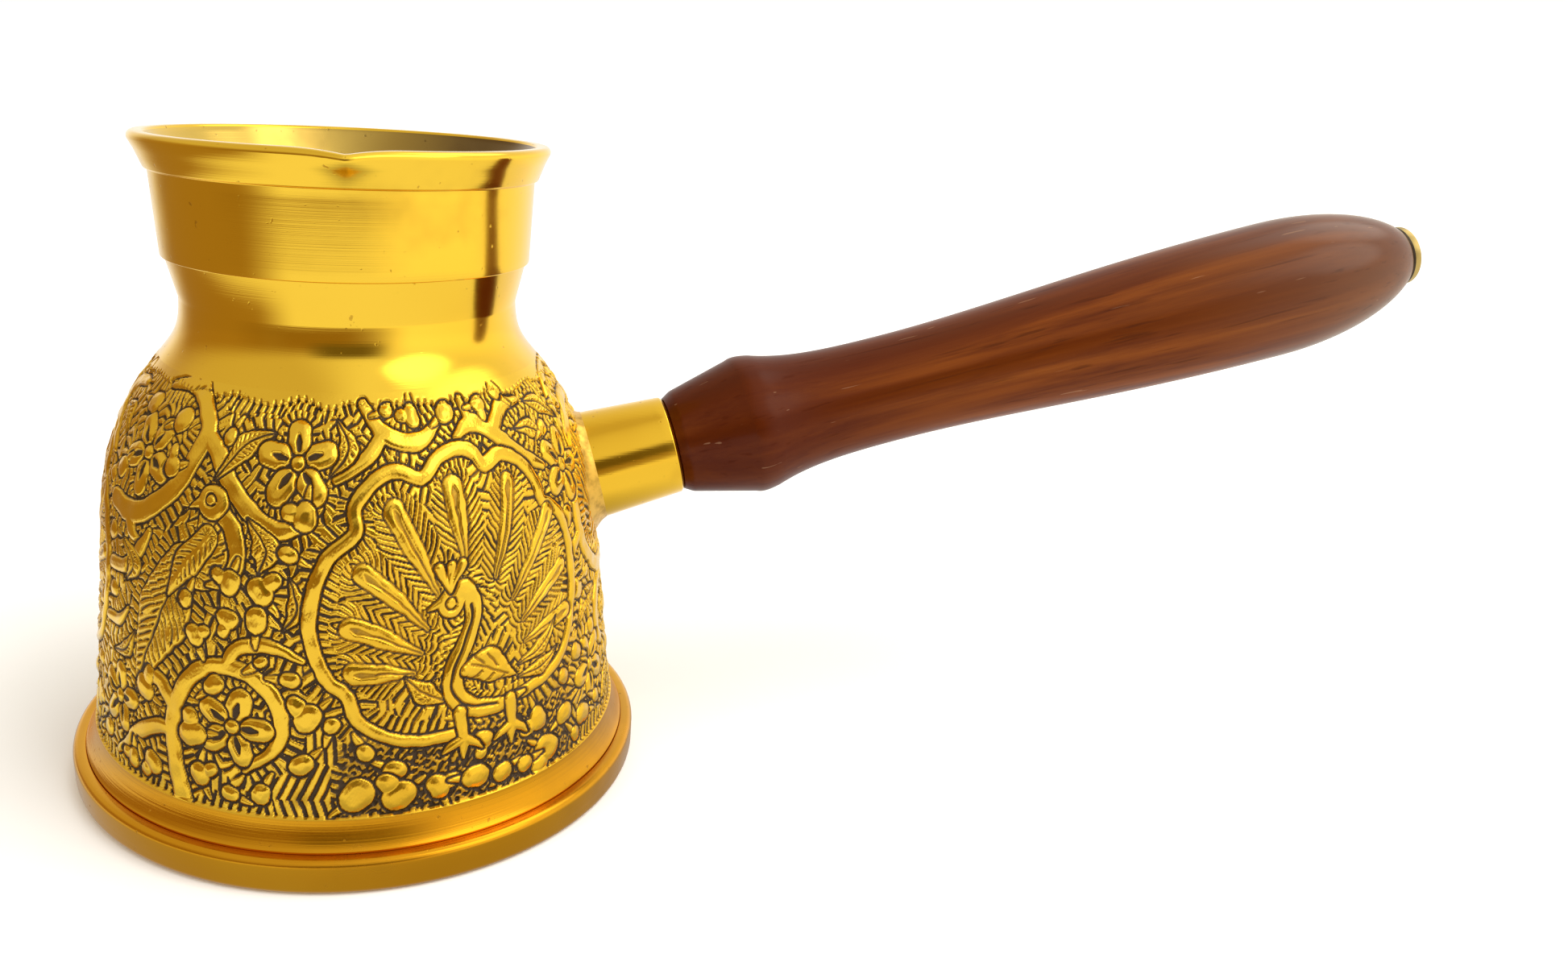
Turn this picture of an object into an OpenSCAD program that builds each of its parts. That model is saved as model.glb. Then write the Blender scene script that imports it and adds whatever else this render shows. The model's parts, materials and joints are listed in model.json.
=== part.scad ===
// Cezve: a long-handled Turkish coffee pot of cast brass with a turned wooden grip.
// The pot stands on the XY plane with its axis on Z. The handle points along +X and rises,
// and the pouring lip is at -Y, on the left of a right-handed pourer.

/* [Pot] */
// Height of the rim above the table
pot_height = 95; // [88:1:104]
// Thickness of the cast wall
wall = 2.2; // [1.8:0.1:2.8]
// Radius of the rim's outer edge
rim_r = 28.7; // [28:0.1:30]
// Outer radius at the top of the turned neck band
neck_r = 26.5; // [26:0.1:27]
// Outer radius at the narrowest place, under the neck band
waist_r = 23.9; // [22.5:0.1:24.5]
// Outer radius where the shoulder meets the long side of the belly
belly_r = 37; // [35:0.5:38]
// Outer radius at the lower edge of the engraved belly
skirt_r = 40.7; // [39.5:0.1:41.5]

/* [Pouring lip] */
// Direction of the lip around the pot, from the handle
lip_angle = -86; // [-100:1:-75]
// How far the lip stands out past the rim
lip_reach = 1.2; // [0.8:0.1:2.4]
// How far the lip's edge dips under the rim
lip_dip = 0.6; // [0.4:0.1:1.2]

/* [Base] */
// Outer radius of the foot ring
foot_r = 44.4; // [44:0.1:46]
// Radius of the plain foot of the pot, inside the ring
seat_r = 42.4; // [42.2:0.1:42.8]
// Height of the foot ring
foot_height = 5.3; // [4.5:0.1:6.5]
// Thickness of the base plate's floor
floor_thick = 2.2; // [1.6:0.1:3]

/* [Handle] */
// Rise of the handle above the horizontal, in degrees
handle_rise = 15.4; // [8:0.1:22]
// Height at which the handle's axis would cross the pot's axis
handle_height = 36.7; // [33:0.1:40]
// Distance along the handle from the pot's axis to the end face of the brass socket
socket_end = 51.2; // [48:0.1:56]
// Radius of the socket at that end
socket_r = 7.75; // [7.2:0.05:8.5]
// Radius of the socket where it meets the belly
socket_root_r = 8.7; // [8.6:0.1:9.5]
// Length of the wooden grip, without its tenon
grip_length = 124.7; // [100:0.1:150]
// Largest radius of the grip, near its free end
grip_r = 11.1; // [10:0.05:12.5]
// Radius of the grip's waist
grip_waist_r = 8.6; // [7.5:0.1:9]
// Radius of the tie rod through the grip
rod_r = 2.5; // [2:0.1:3]

/* [Hidden] */
$fn = 180;
eps = 0.01;

// Heights on the pot, in step with its height
neck_top = 0.949 * pot_height;
neck_bottom = 0.828 * pot_height;
waist_z = 0.773 * pot_height;
throat_z = 0.659 * pot_height;
belly_z = 0.449 * pot_height;
skirt_z = 0.099 * pot_height;
step = 0.5;
rim_round = 0.8;
throat_r = (waist_r + belly_r) / 2 - 1.4;
throat_lean = 41;
band_low_r = waist_r + 1.95;

// How far the wall's curves run straight on at their ends: side, shoulder, throat
side_pull = [8, 9.5];
shoulder_pull = [10.3, 4];
throat_pull = [5.7, 5.5];

// Pouring lip: a small upright cone whose side runs past the rim
lip_cone_r = 8;
lip_off = rim_r + lip_reach - lip_cone_r;
lip_edge_z = pot_height - 0.4;
lip_wall = 1;
lip_hollow_r = 0.6;
lip_sunk = 1;
dip_half = 8;
dip_r = (dip_half * dip_half + lip_dip * lip_dip) / (2 * lip_dip);

// Reach and clearance of the cut that opens the mouth
mouth_deep = 3;
mouth_clear = 0.2;

// Rounding of the foot ring, and the inside corner where the base plate is soldered in
foot_round = 1.2;
foot_land = 1.6;
floor_r = seat_r - wall - foot_land;
solder_leg = 1.2;

// Handle, measured along its own axis from the pot's axis
tenon_r = 4.6;
tenon_long = 8;
tenon_gap = 0.05;
tenon_space = 0.4;
rod_gap = 0.05;
bore_gap = 0.3;
tapped_long = 4.2;
braze_leg = 0.7;
braze_root = 37;
braze_sunk = 4;
socket_root = 26;
socket_meets = 36;
socket_slope = (socket_root_r - socket_r) / (socket_end - socket_meets);
bevel = 0.5;
grip_face_r = socket_r;
shoulder_s = socket_end + 12.5;
shoulder_r = grip_r + 0.15;
waist_s = socket_end + 0.29 * grip_length;
grip_end = socket_end + grip_length;
dome_long = 25.5;
dome_kept = 22.3;
bulge_s = grip_end - dome_kept;
grip_end_r = grip_r * sqrt(1 - pow(dome_kept / dome_long, 2));
washer_thick = 0.8;
nut_r = 4.8;
washer_r = nut_r + 0.25;
nut_rim = 1.1;
nut_dome = 0.9;
sleeve_r = 3.3;
sleeve_long = 8;
sleeve_gap = 0.1;
rod_start = socket_end - tenon_long - tapped_long;
rod_short = 0.4;
rod_tip = grip_end + washer_thick - rod_short;

// A point on a cubic curve, and the whole curve as a list of points
function cubic(a, b, c, d, t) =
    a * pow(1 - t, 3) + 3 * b * t * pow(1 - t, 2) + 3 * c * t * t * (1 - t) + d * pow(t, 3);
function curve(a, b, c, d, steps) = [for (i = [0:steps]) cubic(a, b, c, d, i / steps)];
function reversed(list) = [for (i = [len(list) - 1:-1:0]) list[i]];
function drop_first(list) = [for (i = [1:len(list) - 1]) list[i]];
function arc(centre, r, from, to, steps) =
    [for (i = [0:steps]) let (a = from + (to - from) * i / steps) centre + r * [cos(a), sin(a)]];
function turned_left(v) = [-v[1], v[0]] / norm(v);
// The same line moved to its left by a distance
function moved_in(points, d) = let (n = len(points))
    [for (i = [0:n - 1]) points[i] + d * turned_left(points[min(i + 1, n - 1)] - points[max(i - 1, 0)])];

// Outside of the wall from the skirt up to the waist: long side, shoulder, throat
skirt = [skirt_r, skirt_z];
belly = [belly_r, belly_z];
throat = [throat_r, throat_z];
waist = [waist_r, waist_z];
side_up = [belly_r - skirt_r, belly_z - skirt_z] / norm([belly_r - skirt_r, belly_z - skirt_z]);
throat_up = [-sin(throat_lean), cos(throat_lean)];
side_curve = concat(
    curve(skirt, skirt + side_pull[0] * side_up, belly - side_pull[1] * side_up, belly, 6),
    drop_first(curve(belly, belly + shoulder_pull[0] * side_up, throat - shoulder_pull[1] * throat_up,
                     throat, 12)),
    drop_first(curve(throat, throat + throat_pull[0] * throat_up, waist - [0, throat_pull[1]], waist, 10)));

wall_outside = concat(
    [[seat_r, floor_thick], [seat_r, foot_height]],
    side_curve,
    [[band_low_r - step, neck_bottom], [band_low_r, neck_bottom], [neck_r, neck_top],
     [neck_r + step, neck_top + 0.1]],
    arc([rim_r - rim_round, pot_height - rim_round], rim_round, 0, 90, 5));
wall_inside = concat(
    [[floor_r, floor_thick]],
    moved_in(side_curve, wall),
    [[neck_r - wall, neck_top]],
    arc([rim_r - wall + rim_round / 2, pot_height - rim_round / 2], rim_round / 2, 180, 90, 4));

// Everything inside the pot's outer surface, used to shape what sits against it
module pot_envelope() {
    rotate_extrude()
        polygon(concat([[0, floor_thick]], wall_outside, [[0, pot_height]]));
}

// Places its children on the handle's axis, which becomes their Z
module on_handle() {
    translate([0, 0, handle_height]) rotate([0, 90 - handle_rise, 0]) children();
}

module at_lip() {
    rotate([0, 0, lip_angle]) children();
}

// Cast wall of the pot, open at the bottom, with its pouring lip
module pot_body() {
    color("goldenrod")
    difference() {
        union() {
            rotate_extrude() polygon(concat(wall_outside, reversed(wall_inside)));
            at_lip() translate([lip_off, 0, neck_top])
                cylinder(r1 = lip_cone_r - (rim_r + lip_reach - neck_r) - step, r2 = lip_cone_r,
                         h = lip_edge_z - neck_top);
        }
        // Hollow of the lip, open to the pot
        at_lip() translate([lip_off, 0, neck_top - lip_sunk])
            cylinder(r1 = lip_hollow_r, r2 = lip_cone_r - lip_wall,
                     h = lip_edge_z - neck_top + 2 * lip_sunk);
        // The pot's own hollow, where the lip's cone would cross it
        translate([0, 0, neck_top - mouth_deep])
            cylinder(r1 = neck_r - wall - mouth_clear, r2 = rim_r - wall + eps,
                     h = pot_height - neck_top + mouth_deep + eps);
        // Dip of the pouring edge
        at_lip() translate([rim_r - 5, 0, pot_height + dip_r - lip_dip]) rotate([0, 90, 0])
            cylinder(r = dip_r, h = 12);
    }
}

// Round plate that closes the pot, with the raised ring that the pot's foot sits in
module base_plate() {
    color("darkgoldenrod")
    rotate_extrude()
        polygon(concat(
            [[0, 0]],
            arc([foot_r - foot_round, foot_round], foot_round, -90, 0, 4),
            arc([foot_r - foot_round, foot_height - foot_round], foot_round, 0, 75, 5),
            [[seat_r, foot_height], [seat_r, floor_thick], [0, floor_thick]]));
}

// Solder run round the inside corner between wall and floor
module base_solder_fillet() {
    color("silver")
    rotate_extrude()
        translate([floor_r, floor_thick])
            difference() {
                translate([-solder_leg, 0]) square(solder_leg);
                translate([-solder_leg, solder_leg]) circle(r = solder_leg);
            }
}

// Tapered brass socket, with a blind seat for the grip's tenon and a tapped hole behind it
module handle_socket() {
    color("gold")
    difference() {
        on_handle() rotate_extrude()
            polygon([
                [0, socket_root],
                [socket_r + socket_slope * (socket_end - socket_root), socket_root],
                [socket_r, socket_end - bevel],
                [socket_r - bevel, socket_end],
                [0, socket_end]]);
        pot_envelope();
        on_handle() translate([0, 0, socket_end - tenon_long - tenon_space])
            cylinder(r = tenon_r + tenon_gap, h = tenon_long + 2 * tenon_space);
        on_handle() translate([0, 0, rod_start - rod_short])
            cylinder(r = rod_r + rod_gap, h = tapped_long + rod_short);
    }
}

// Brazing bead in the corner between socket and belly
module socket_braze_fillet() {
    root_r = socket_r + socket_slope * (socket_end - braze_root);
    color("peru")
    difference() {
        on_handle() translate([0, 0, braze_root - braze_sunk])
            cylinder(r1 = root_r + braze_leg + braze_sunk, r2 = root_r - braze_leg / 2,
                     h = 1.5 * braze_leg + braze_sunk);
        pot_envelope();
        on_handle() translate([0, 0, socket_root])
            cylinder(r1 = socket_r + socket_slope * (socket_end - socket_root), r2 = socket_r,
                     h = socket_end - socket_root);
    }
}

// Outline of the grip from the socket's face to the flat at its free end
grip_outline = concat(
    [[grip_face_r, socket_end], [grip_face_r + 0.5, socket_end + 1.4]],
    curve([shoulder_r - 0.5, shoulder_s - 1.3], [shoulder_r - 0.1, shoulder_s - 0.4],
          [shoulder_r - 0.1, shoulder_s + 0.5], [shoulder_r - 0.5, shoulder_s + 2.4], 5),
    drop_first(curve([shoulder_r - 0.5, shoulder_s + 2.4], [grip_waist_r + 0.35, shoulder_s + 8],
          [grip_waist_r, waist_s - 10], [grip_waist_r, waist_s], 10)),
    drop_first(curve([grip_waist_r, waist_s], [grip_waist_r, waist_s + 19],
          [grip_r, bulge_s - 30], [grip_r, bulge_s], 14)),
    [for (i = [1:9]) let (s = dome_kept * sin(10 * i))
        [grip_r * sqrt(1 - pow(s / dome_long, 2)), bulge_s + s]]);

// Turned hardwood grip with its tenon, bored right through for the tie rod, and wider at the
// free end for the sleeve of the cap nut
module wooden_grip() {
    color("saddlebrown")
    on_handle() difference() {
        rotate_extrude()
            polygon(concat(
                [[0, socket_end - tenon_long], [tenon_r, socket_end - tenon_long], [tenon_r, socket_end]],
                grip_outline,
                [[0, grip_end]]));
        translate([0, 0, socket_end - tenon_long - 1])
            cylinder(r = rod_r + bore_gap, h = grip_length + tenon_long + 2);
        translate([0, 0, grip_end - sleeve_long])
            cylinder(r = sleeve_r + sleeve_gap, h = sleeve_long + 1);
    }
}

// Steel tie rod, threaded at both ends
module tie_rod() {
    color("lightsteelblue")
    on_handle() translate([0, 0, rod_start]) cylinder(r = rod_r, h = rod_tip - rod_start);
}

module end_washer() {
    color("dimgray")
    on_handle() translate([0, 0, grip_end]) difference() {
        cylinder(r = washer_r, h = washer_thick);
        translate([0, 0, -1]) cylinder(r = sleeve_r + sleeve_gap, h = washer_thick + 2);
    }
}

// Low domed head on a tapped sleeve, which draws the grip against the socket
module end_cap_nut() {
    dome_r = (nut_r * nut_r + nut_dome * nut_dome) / (2 * nut_dome);
    dome_span = asin(nut_r / dome_r);
    color("gold")
    on_handle() translate([0, 0, grip_end + washer_thick]) difference() {
        rotate_extrude()
            polygon(concat(
                [[0, -sleeve_long], [sleeve_r, -sleeve_long], [sleeve_r, 0], [nut_r, 0]],
                arc([0, nut_rim + nut_dome - dome_r], dome_r, 90 - dome_span, 90, 10)));
        translate([0, 0, -sleeve_long - 1])
            cylinder(r = rod_r + rod_gap, h = sleeve_long + 1 - rod_short / 2);
    }
}

pot_body();
base_plate();
base_solder_fillet();
handle_socket();
socket_braze_fillet();
wooden_grip();
tie_rod();
end_washer();
end_cap_nut();
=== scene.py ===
import json
import math

import bmesh
import bpy
import numpy as np
from mathutils import Matrix, Vector

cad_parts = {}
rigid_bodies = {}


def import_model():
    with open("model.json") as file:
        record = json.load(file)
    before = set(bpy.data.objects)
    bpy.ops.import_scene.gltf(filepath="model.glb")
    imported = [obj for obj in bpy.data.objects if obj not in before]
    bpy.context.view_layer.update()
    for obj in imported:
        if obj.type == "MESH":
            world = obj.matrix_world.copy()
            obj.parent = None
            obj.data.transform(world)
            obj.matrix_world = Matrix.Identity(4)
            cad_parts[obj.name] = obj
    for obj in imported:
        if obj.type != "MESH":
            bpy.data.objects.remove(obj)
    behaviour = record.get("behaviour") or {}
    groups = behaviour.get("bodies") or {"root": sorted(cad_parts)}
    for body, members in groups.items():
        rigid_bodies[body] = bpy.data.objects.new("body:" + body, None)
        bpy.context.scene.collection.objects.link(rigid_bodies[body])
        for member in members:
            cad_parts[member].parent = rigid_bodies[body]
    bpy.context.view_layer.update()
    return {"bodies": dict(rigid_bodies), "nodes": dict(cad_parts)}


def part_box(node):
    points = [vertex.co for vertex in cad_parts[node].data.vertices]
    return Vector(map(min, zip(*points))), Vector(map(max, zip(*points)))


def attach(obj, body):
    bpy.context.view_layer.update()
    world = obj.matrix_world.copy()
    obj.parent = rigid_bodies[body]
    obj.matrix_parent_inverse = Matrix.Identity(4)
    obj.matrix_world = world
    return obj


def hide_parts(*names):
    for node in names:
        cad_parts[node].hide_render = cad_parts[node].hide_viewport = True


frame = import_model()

mm = 0.001
body = next(iter(frame["bodies"]))
print("frame loaded:", len(frame["nodes"]), "nodes on", body)

# sizes shared by several pieces, in mm; the heights follow the height of the CAD pot

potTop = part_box("pot_body")[1].z / mm
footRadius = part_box("base_plate")[1].x / mm
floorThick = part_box("pot_body")[0].z / mm
pot = {
    "wall": 2.2,
    "rim": 28.7,
    "neck": 26.5,
    "waist": 23.9,
    "belly": 37.0,
    "skirt": 40.7,
    "seat": 42.4,
    "neckTop": 0.949 * potTop,
    "neckBottom": 0.828 * potTop,
    "waistZ": 0.773 * potTop,
    "throatZ": 0.659 * potTop,
    "bellyZ": 0.449 * potTop,
    "skirtZ": 0.099 * potTop,
    "throatLean": 41,
}
cornerRadius = pot["seat"] - pot["wall"] - 1.6   # inside corner between wall and floor
handle = {"rise": 15.4, "height": 36.7, "socketEnd": 51.2, "socket": 7.75, "socketRoot": 8.7,
          "gripLength": 124.7, "rod": 2.5}


# small curve and mesh helpers

def cubic(a, b, c, d, steps):
    t = np.linspace(0, 1, steps + 1)[:, None]
    a, b, c, d = (np.array(p, float) for p in (a, b, c, d))
    return a * (1 - t) ** 3 + 3 * b * t * (1 - t) ** 2 + 3 * c * t * t * (1 - t) + d * t ** 3


def arc(centre, radius, start, end, steps):
    angles = np.radians(np.linspace(start, end, steps + 1))
    return np.array(centre, float) + radius * np.stack([np.cos(angles), np.sin(angles)], 1)


def rounded(points, radius, steps=3):
    # the same outline with a small round at every inner corner
    points = [np.array(p, float) for p in points]
    out = [points[0]]
    for before, here, after in zip(points, points[1:], points[2:]):
        back, ahead = before - here, after - here
        cut = min(radius, np.linalg.norm(back) * 0.45, np.linalg.norm(ahead) * 0.45)
        a = here + back / np.linalg.norm(back) * cut
        b = here + ahead / np.linalg.norm(ahead) * cut
        for t in np.linspace(0, 1, steps + 1):
            out.append(a * (1 - t) ** 2 + 2 * here * t * (1 - t) + b * t * t)
    out.append(points[-1])
    return np.array(out)


def smoothStep(x, low=0.0, high=1.0):
    t = np.clip((x - low) / (high - low), 0, 1)
    return t * t * (3 - 2 * t)


def meshObject(name, vertices, faces, material):
    mesh = bpy.data.meshes.new(name)
    mesh.from_pydata(vertices, [], faces)
    mesh.materials.append(material)
    mesh.shade_smooth()
    piece = bpy.data.objects.new(name, mesh)
    bpy.context.scene.collection.objects.link(piece)
    return piece


def outwards(piece, merge=1e-7):
    # closed shell with its normals out
    work = bmesh.new()
    work.from_mesh(piece.data)
    bmesh.ops.remove_doubles(work, verts=work.verts, dist=merge)
    bmesh.ops.recalc_face_normals(work, faces=work.faces)
    work.to_mesh(piece.data)
    work.free()


def settle(piece, slotName, *replaced):
    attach(piece, body)
    if replaced:
        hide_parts(*replaced)
    print("made", piece.name, len(piece.data.polygons), "faces")


# shader maths: a Wire is one output socket, and sums of wires add their Math nodes

class Wire:
    def __init__(self, tree, socket=None):
        self.tree = tree
        self.socket = socket

    def node(self, kind, settings=None, values=None, out=0):
        made = self.tree.nodes.new(kind)
        for name, value in (settings or {}).items():
            if name == "stops":
                ramp = made.color_ramp
                while len(ramp.elements) < len(value):
                    ramp.elements.new(0.5)
                for stop, (place, colour) in zip(ramp.elements, value):
                    stop.position = place
                    stop.color = (*colour, 1)
            else:
                setattr(made, name, value)
        for key, value in (values or {}).items():
            if isinstance(value, Wire):
                self.tree.links.new(value.socket, made.inputs[key])
            else:
                made.inputs[key].default_value = value
        return Wire(self.tree, made.outputs[out])

    def maths(self, operation, *others, clamp=False):
        values = dict(enumerate((self, *others)))
        return self.node("ShaderNodeMath", {"operation": operation, "use_clamp": clamp}, values)

    def __add__(self, other):
        return self.maths("ADD", other)

    def __sub__(self, other):
        return self.maths("SUBTRACT", other)

    def __mul__(self, other):
        return self.maths("MULTIPLY", other)

    __radd__ = __add__
    __rmul__ = __mul__

    def __rsub__(self, other):
        return self.node("ShaderNodeMath", {"operation": "SUBTRACT"}, {0: other, 1: self})

    def part(self, number):
        # one coordinate of a vector
        return self.node("ShaderNodeSeparateXYZ", {}, {0: self}, out=number)

    def limited(self):
        return self.maths("ADD", 0.0, clamp=True)

    def between(self, low, high, toLow=0.0, toHigh=1.0):
        values = {0: self, 1: low, 2: high, 3: toLow, 4: toHigh}
        return self.node("ShaderNodeMapRange", {"interpolation_type": "SMOOTHSTEP"}, values)

    def noise(self, scale, detail=3.0, roughness=0.55, distortion=0.0):
        values = {"Vector": self, "Scale": scale, "Detail": detail, "Roughness": roughness,
                  "Distortion": distortion}
        return self.node("ShaderNodeTexNoise", {"normalize": True}, values)

    def stretched(self, scale, place=(0, 0, 0), turn=(0, 0, 0), kind="POINT"):
        values = {"Vector": self, "Location": place, "Rotation": turn, "Scale": scale}
        return self.node("ShaderNodeMapping", {"vector_type": kind}, values)

    def blend(self, first, second):
        # colour mix, with this wire as the factor
        values = {0: self, 6: first, 7: second}
        return self.node("ShaderNodeMix", {"data_type": "RGBA"}, values, out=2)


def newMaterial(name, fixed):
    made = bpy.data.materials.new(name)
    made.use_nodes = True
    tree = made.node_tree
    shader = tree.nodes["Principled BSDF"]
    for key, value in fixed.items():
        shader.inputs[key].default_value = value
    return made, shader, Wire(tree)


def connect(shader, **wires):
    names = {"colour": "Base Color", "roughness": "Roughness", "metallic": "Metallic", "coat": "Coat Weight",
             "normal": "Normal"}
    for key, wire in wires.items():
        wire.tree.links.new(wire.socket, shader.inputs[names[key]])


def bump(height, strength, distance, normal=None):
    values = {"Height": height, "Strength": strength, "Distance": distance}
    if normal is not None:
        values["Normal"] = normal
    return height.node("ShaderNodeBump", {}, values)


def objectCoordinates(start):
    return start.node("ShaderNodeTexCoord", out=3)


# finishes

brassLook = {"bright": (0.92, 0.59, 0.052, 1), "deep": (0.82, 0.465, 0.028, 1), "roughness": 0.10,
             "patina": (0.040, 0.020, 0.005, 1), "film": (0.44, 0.20, 0.014, 1),
             "stain": (0.40, 0.19, 0.018, 1)}


def turnedBrass(name, look, ringScale=5200, tarnish=0.0, ringDepth=0.05, across=0.0):
    # polished on the lathe: fine rings round the axis, a few pits and cloudy patches
    made, shader, start = newMaterial(name, {"Metallic": 1.0})
    place = objectCoordinates(start)
    cloud = place.noise(38, 4, 0.6)
    rings = place.stretched((6, 6, ringScale)).noise(1.0, 2, 0.7)
    pits = place.noise(900, 2, 0.5).between(0.70, 0.78)
    drift = place.noise(14, 3, 0.5)
    if across:
        # painted shade: one side of the piece is darker than the other
        drift = drift * 0.5 + 0.25 + place.part(0) * across
    stain = (cloud.between(0.56, 0.75) * 0.35 + pits * 0.5 + tarnish).limited()
    colour = drift.between(0.3, 0.7).blend(look["bright"], look["deep"])
    colour = stain.blend(colour, look["stain"])
    least = look["roughness"]
    roughness = cloud.between(0.35, 0.8, least, least + 0.12) + pits * 0.2 + tarnish * 0.25
    fine = bump(rings, ringDepth, 0.0002)
    wavy = bump(place.noise(48, 2, 0.5), 0.24, 0.0008, fine)
    dented = bump(1 - pits, 0.25, 0.0001, wavy)
    connect(shader, colour=colour, roughness=roughness, normal=dented)
    return made


def chasedBrass(name, look):
    # chiselled relief: rubbed bright on top, blackened in the cuts; "patina" is 0 on top and 1 in a cut
    made, shader, start = newMaterial(name, {})
    place = objectCoordinates(start)
    cut = start.node("ShaderNodeAttribute", {"attribute_name": "patina"}, out=2)
    grain = place.noise(700, 3, 0.6)
    cloud = place.noise(60, 4, 0.6)
    mask = (cut + (grain - 0.5) * 0.45 * cut.between(0.02, 0.3)).between(0.30, 0.78)
    film = (cloud.between(0.5, 0.8) * 0.30 + cut.between(0.0, 0.40) * 0.55).limited()
    metal = place.noise(22, 3, 0.5).between(0.3, 0.7).blend(look["bright"], look["deep"])
    metal = film.blend(metal, look["film"])
    colour = mask.blend(metal, look["patina"])
    least = look["roughness"] + 0.05
    roughness = (cloud.between(0.3, 0.8, least, least + 0.11) + cut * 0.35).limited()
    metallic = 1 - mask * 0.75
    rough = bump(grain, 0.12, 0.00012)
    wavy = bump(place.noise(190, 2, 0.5), 0.16, 0.0004, rough)
    connect(shader, colour=colour, roughness=roughness, metallic=metallic, normal=wavy)
    return made


def plainMetal(name, colour, roughness):
    made, shader, start = newMaterial(name, {"Metallic": 1.0})
    place = objectCoordinates(start)
    grain = place.noise(600, 4, 0.6)
    dark = tuple(c * 0.55 for c in colour) + (1,)
    connect(shader, colour=grain.between(0.35, 0.75).blend((*colour, 1), dark),
            roughness=grain.between(0.3, 0.8, roughness, roughness + 0.2), normal=bump(grain, 0.2, 0.0001))
    return made


woodLook = {
    "grain": [(0.25, (0.055, 0.010, 0.001)), (0.45, (0.115, 0.024, 0.002)), (0.60, (0.175, 0.042, 0.003)),
              (0.80, (0.240, 0.068, 0.006))],
    "fibre": (0.080, 0.014, 0.001, 1),
    "patch": (0.170, 0.060, 0.010, 1),
    "pore": (0.030, 0.008, 0.004, 1),
    "collar": (0.060, 0.007, 0.001, 1),
    "endSheen": (0.100, 0.042, 0.022, 1),
    "scratch": (0.50, 0.30, 0.18, 1),
}


def varnishedWood(name, look):
    # grain runs along the handle: the coordinates are turned so that their Z is the handle's axis
    made, shader, start = newMaterial(name, {"Coat Roughness": 0.09, "Coat IOR": 1.5, "IOR": 1.5,
                                             "Specular IOR Level": 0.06})
    tilt = math.radians(90 - handle["rise"])
    root = (0, 0, handle["height"] * mm)
    along = objectCoordinates(start).stretched((1, 1, 1), root, (0, tilt, 0), "TEXTURE")
    fibres = along.stretched((420, 420, 16)).noise(1.0, 5, 0.65)
    bands = along.stretched((150, 150, 5)).noise(1.0, 3, 0.55, 0.6)
    pores = along.stretched((1500, 1500, 45)).noise(1.0, 2, 0.5).between(0.60, 0.72)
    patches = along.stretched((26, 26, 14)).noise(1.0, 2, 0.5)
    colour = bands.node("ShaderNodeValToRGB", {"stops": look["grain"]}, {0: bands})
    colour = fibres.between(0.35, 0.75).blend(colour, look["fibre"])
    colour = (patches.between(0.45, 0.75) * 0.5).blend(colour, look["patch"])
    colour = (pores * 0.4).blend(colour, look["pore"])
    # darker at the collar, and a painted sheen at the free end
    towardsEnd = along.part(2)
    colour = towardsEnd.between(0.066, 0.100, 0.62, 0.0).blend(colour, look["collar"])
    colour = towardsEnd.between(0.135, 0.172, 0.0, 0.45).blend(colour, look["endSheen"])
    scratches = along.stretched((1500, 1500, 110), turn=(0.5, 0.3, 0)).noise(1.0, 1, 0.4).between(0.75, 0.78)
    colour = (scratches * 0.22).blend(colour, look["scratch"])
    roughness = patches.between(0.3, 0.8, 0.28, 0.42) + scratches * 0.2
    height = fibres * 0.5 - pores * 0.5
    coat = (towardsEnd.between(0.13, 0.17, 0.10, 0.45) - pores * 0.1 - scratches * 0.1).limited()
    connect(shader, colour=colour, roughness=roughness, coat=coat, normal=bump(height, 0.10, 0.00015))
    return made


footLook = {**brassLook, "bright": (0.80, 0.41, 0.022, 1), "deep": (0.66, 0.29, 0.011, 1), "roughness": 0.20}
# inside the pot: tarnish, and painted shade in the deep colour that darkens one side of the inner wall
innerLook = {**brassLook, "bright": (0.74, 0.50, 0.10, 1), "deep": (0.20, 0.13, 0.05, 1),
             "stain": (0.12, 0.07, 0.025, 1), "roughness": 0.16}
agedLook = {**brassLook, "bright": (0.62, 0.47, 0.17, 1), "deep": (0.48, 0.34, 0.10, 1),
            "stain": (0.20, 0.13, 0.05, 1), "roughness": 0.25}
finish = {
    "turned": turnedBrass("turnedBrass", brassLook),
    "foot": turnedBrass("footBrass", footLook, ringScale=3600, ringDepth=0.16),
    "inner": turnedBrass("innerBrass", innerLook, tarnish=0.10, across=12.0),
    "chased": chasedBrass("chasedBrass", brassLook),
    "aged": turnedBrass("agedBrass", agedLook, tarnish=0.3),
    "braze": plainMetal("brazeBead", (0.78, 0.46, 0.08), 0.3),
    "solder": plainMetal("tinSolder", (0.45, 0.43, 0.38), 0.4),
    "steel": plainMetal("rodSteel", (0.5, 0.5, 0.49), 0.3),
    # a nearly black washer
    "washer": plainMetal("darkWasher", (0.06, 0.045, 0.03), 0.4),
    "wood": varnishedWood("varnishedWood", woodLook),
}
print("finishes made:", len(finish))


# turning on a lathe, as a node tree: the base mesh is the outline, in the XZ plane

def newTree(name, sockets):
    # a tree with these named inputs; gives the wires of its inputs, and their identifiers
    tree = bpy.data.node_groups.new(name, "GeometryNodeTree")
    ids = {}
    for label, (kind, default) in sockets.items():
        made = tree.interface.new_socket(label, in_out="INPUT", socket_type="NodeSocket" + kind)
        if default is not None:
            made.default_value = default
        ids[label] = made.identifier
    tree.interface.new_socket("Piece", in_out="OUTPUT", socket_type="NodeSocketGeometry")
    inputs = tree.nodes.new("NodeGroupInput")
    return tree, ids, [Wire(tree, socket) for socket in inputs.outputs[:len(sockets)]]


def endTree(tree, shape, material):
    shape = shape.node("GeometryNodeRealizeInstances", {}, {0: shape})
    shape = shape.node("GeometryNodeSetMaterial", {}, {"Geometry": shape, "Material": material})
    tree.links.new(shape.socket, tree.nodes.new("NodeGroupOutput").inputs[0])


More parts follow.
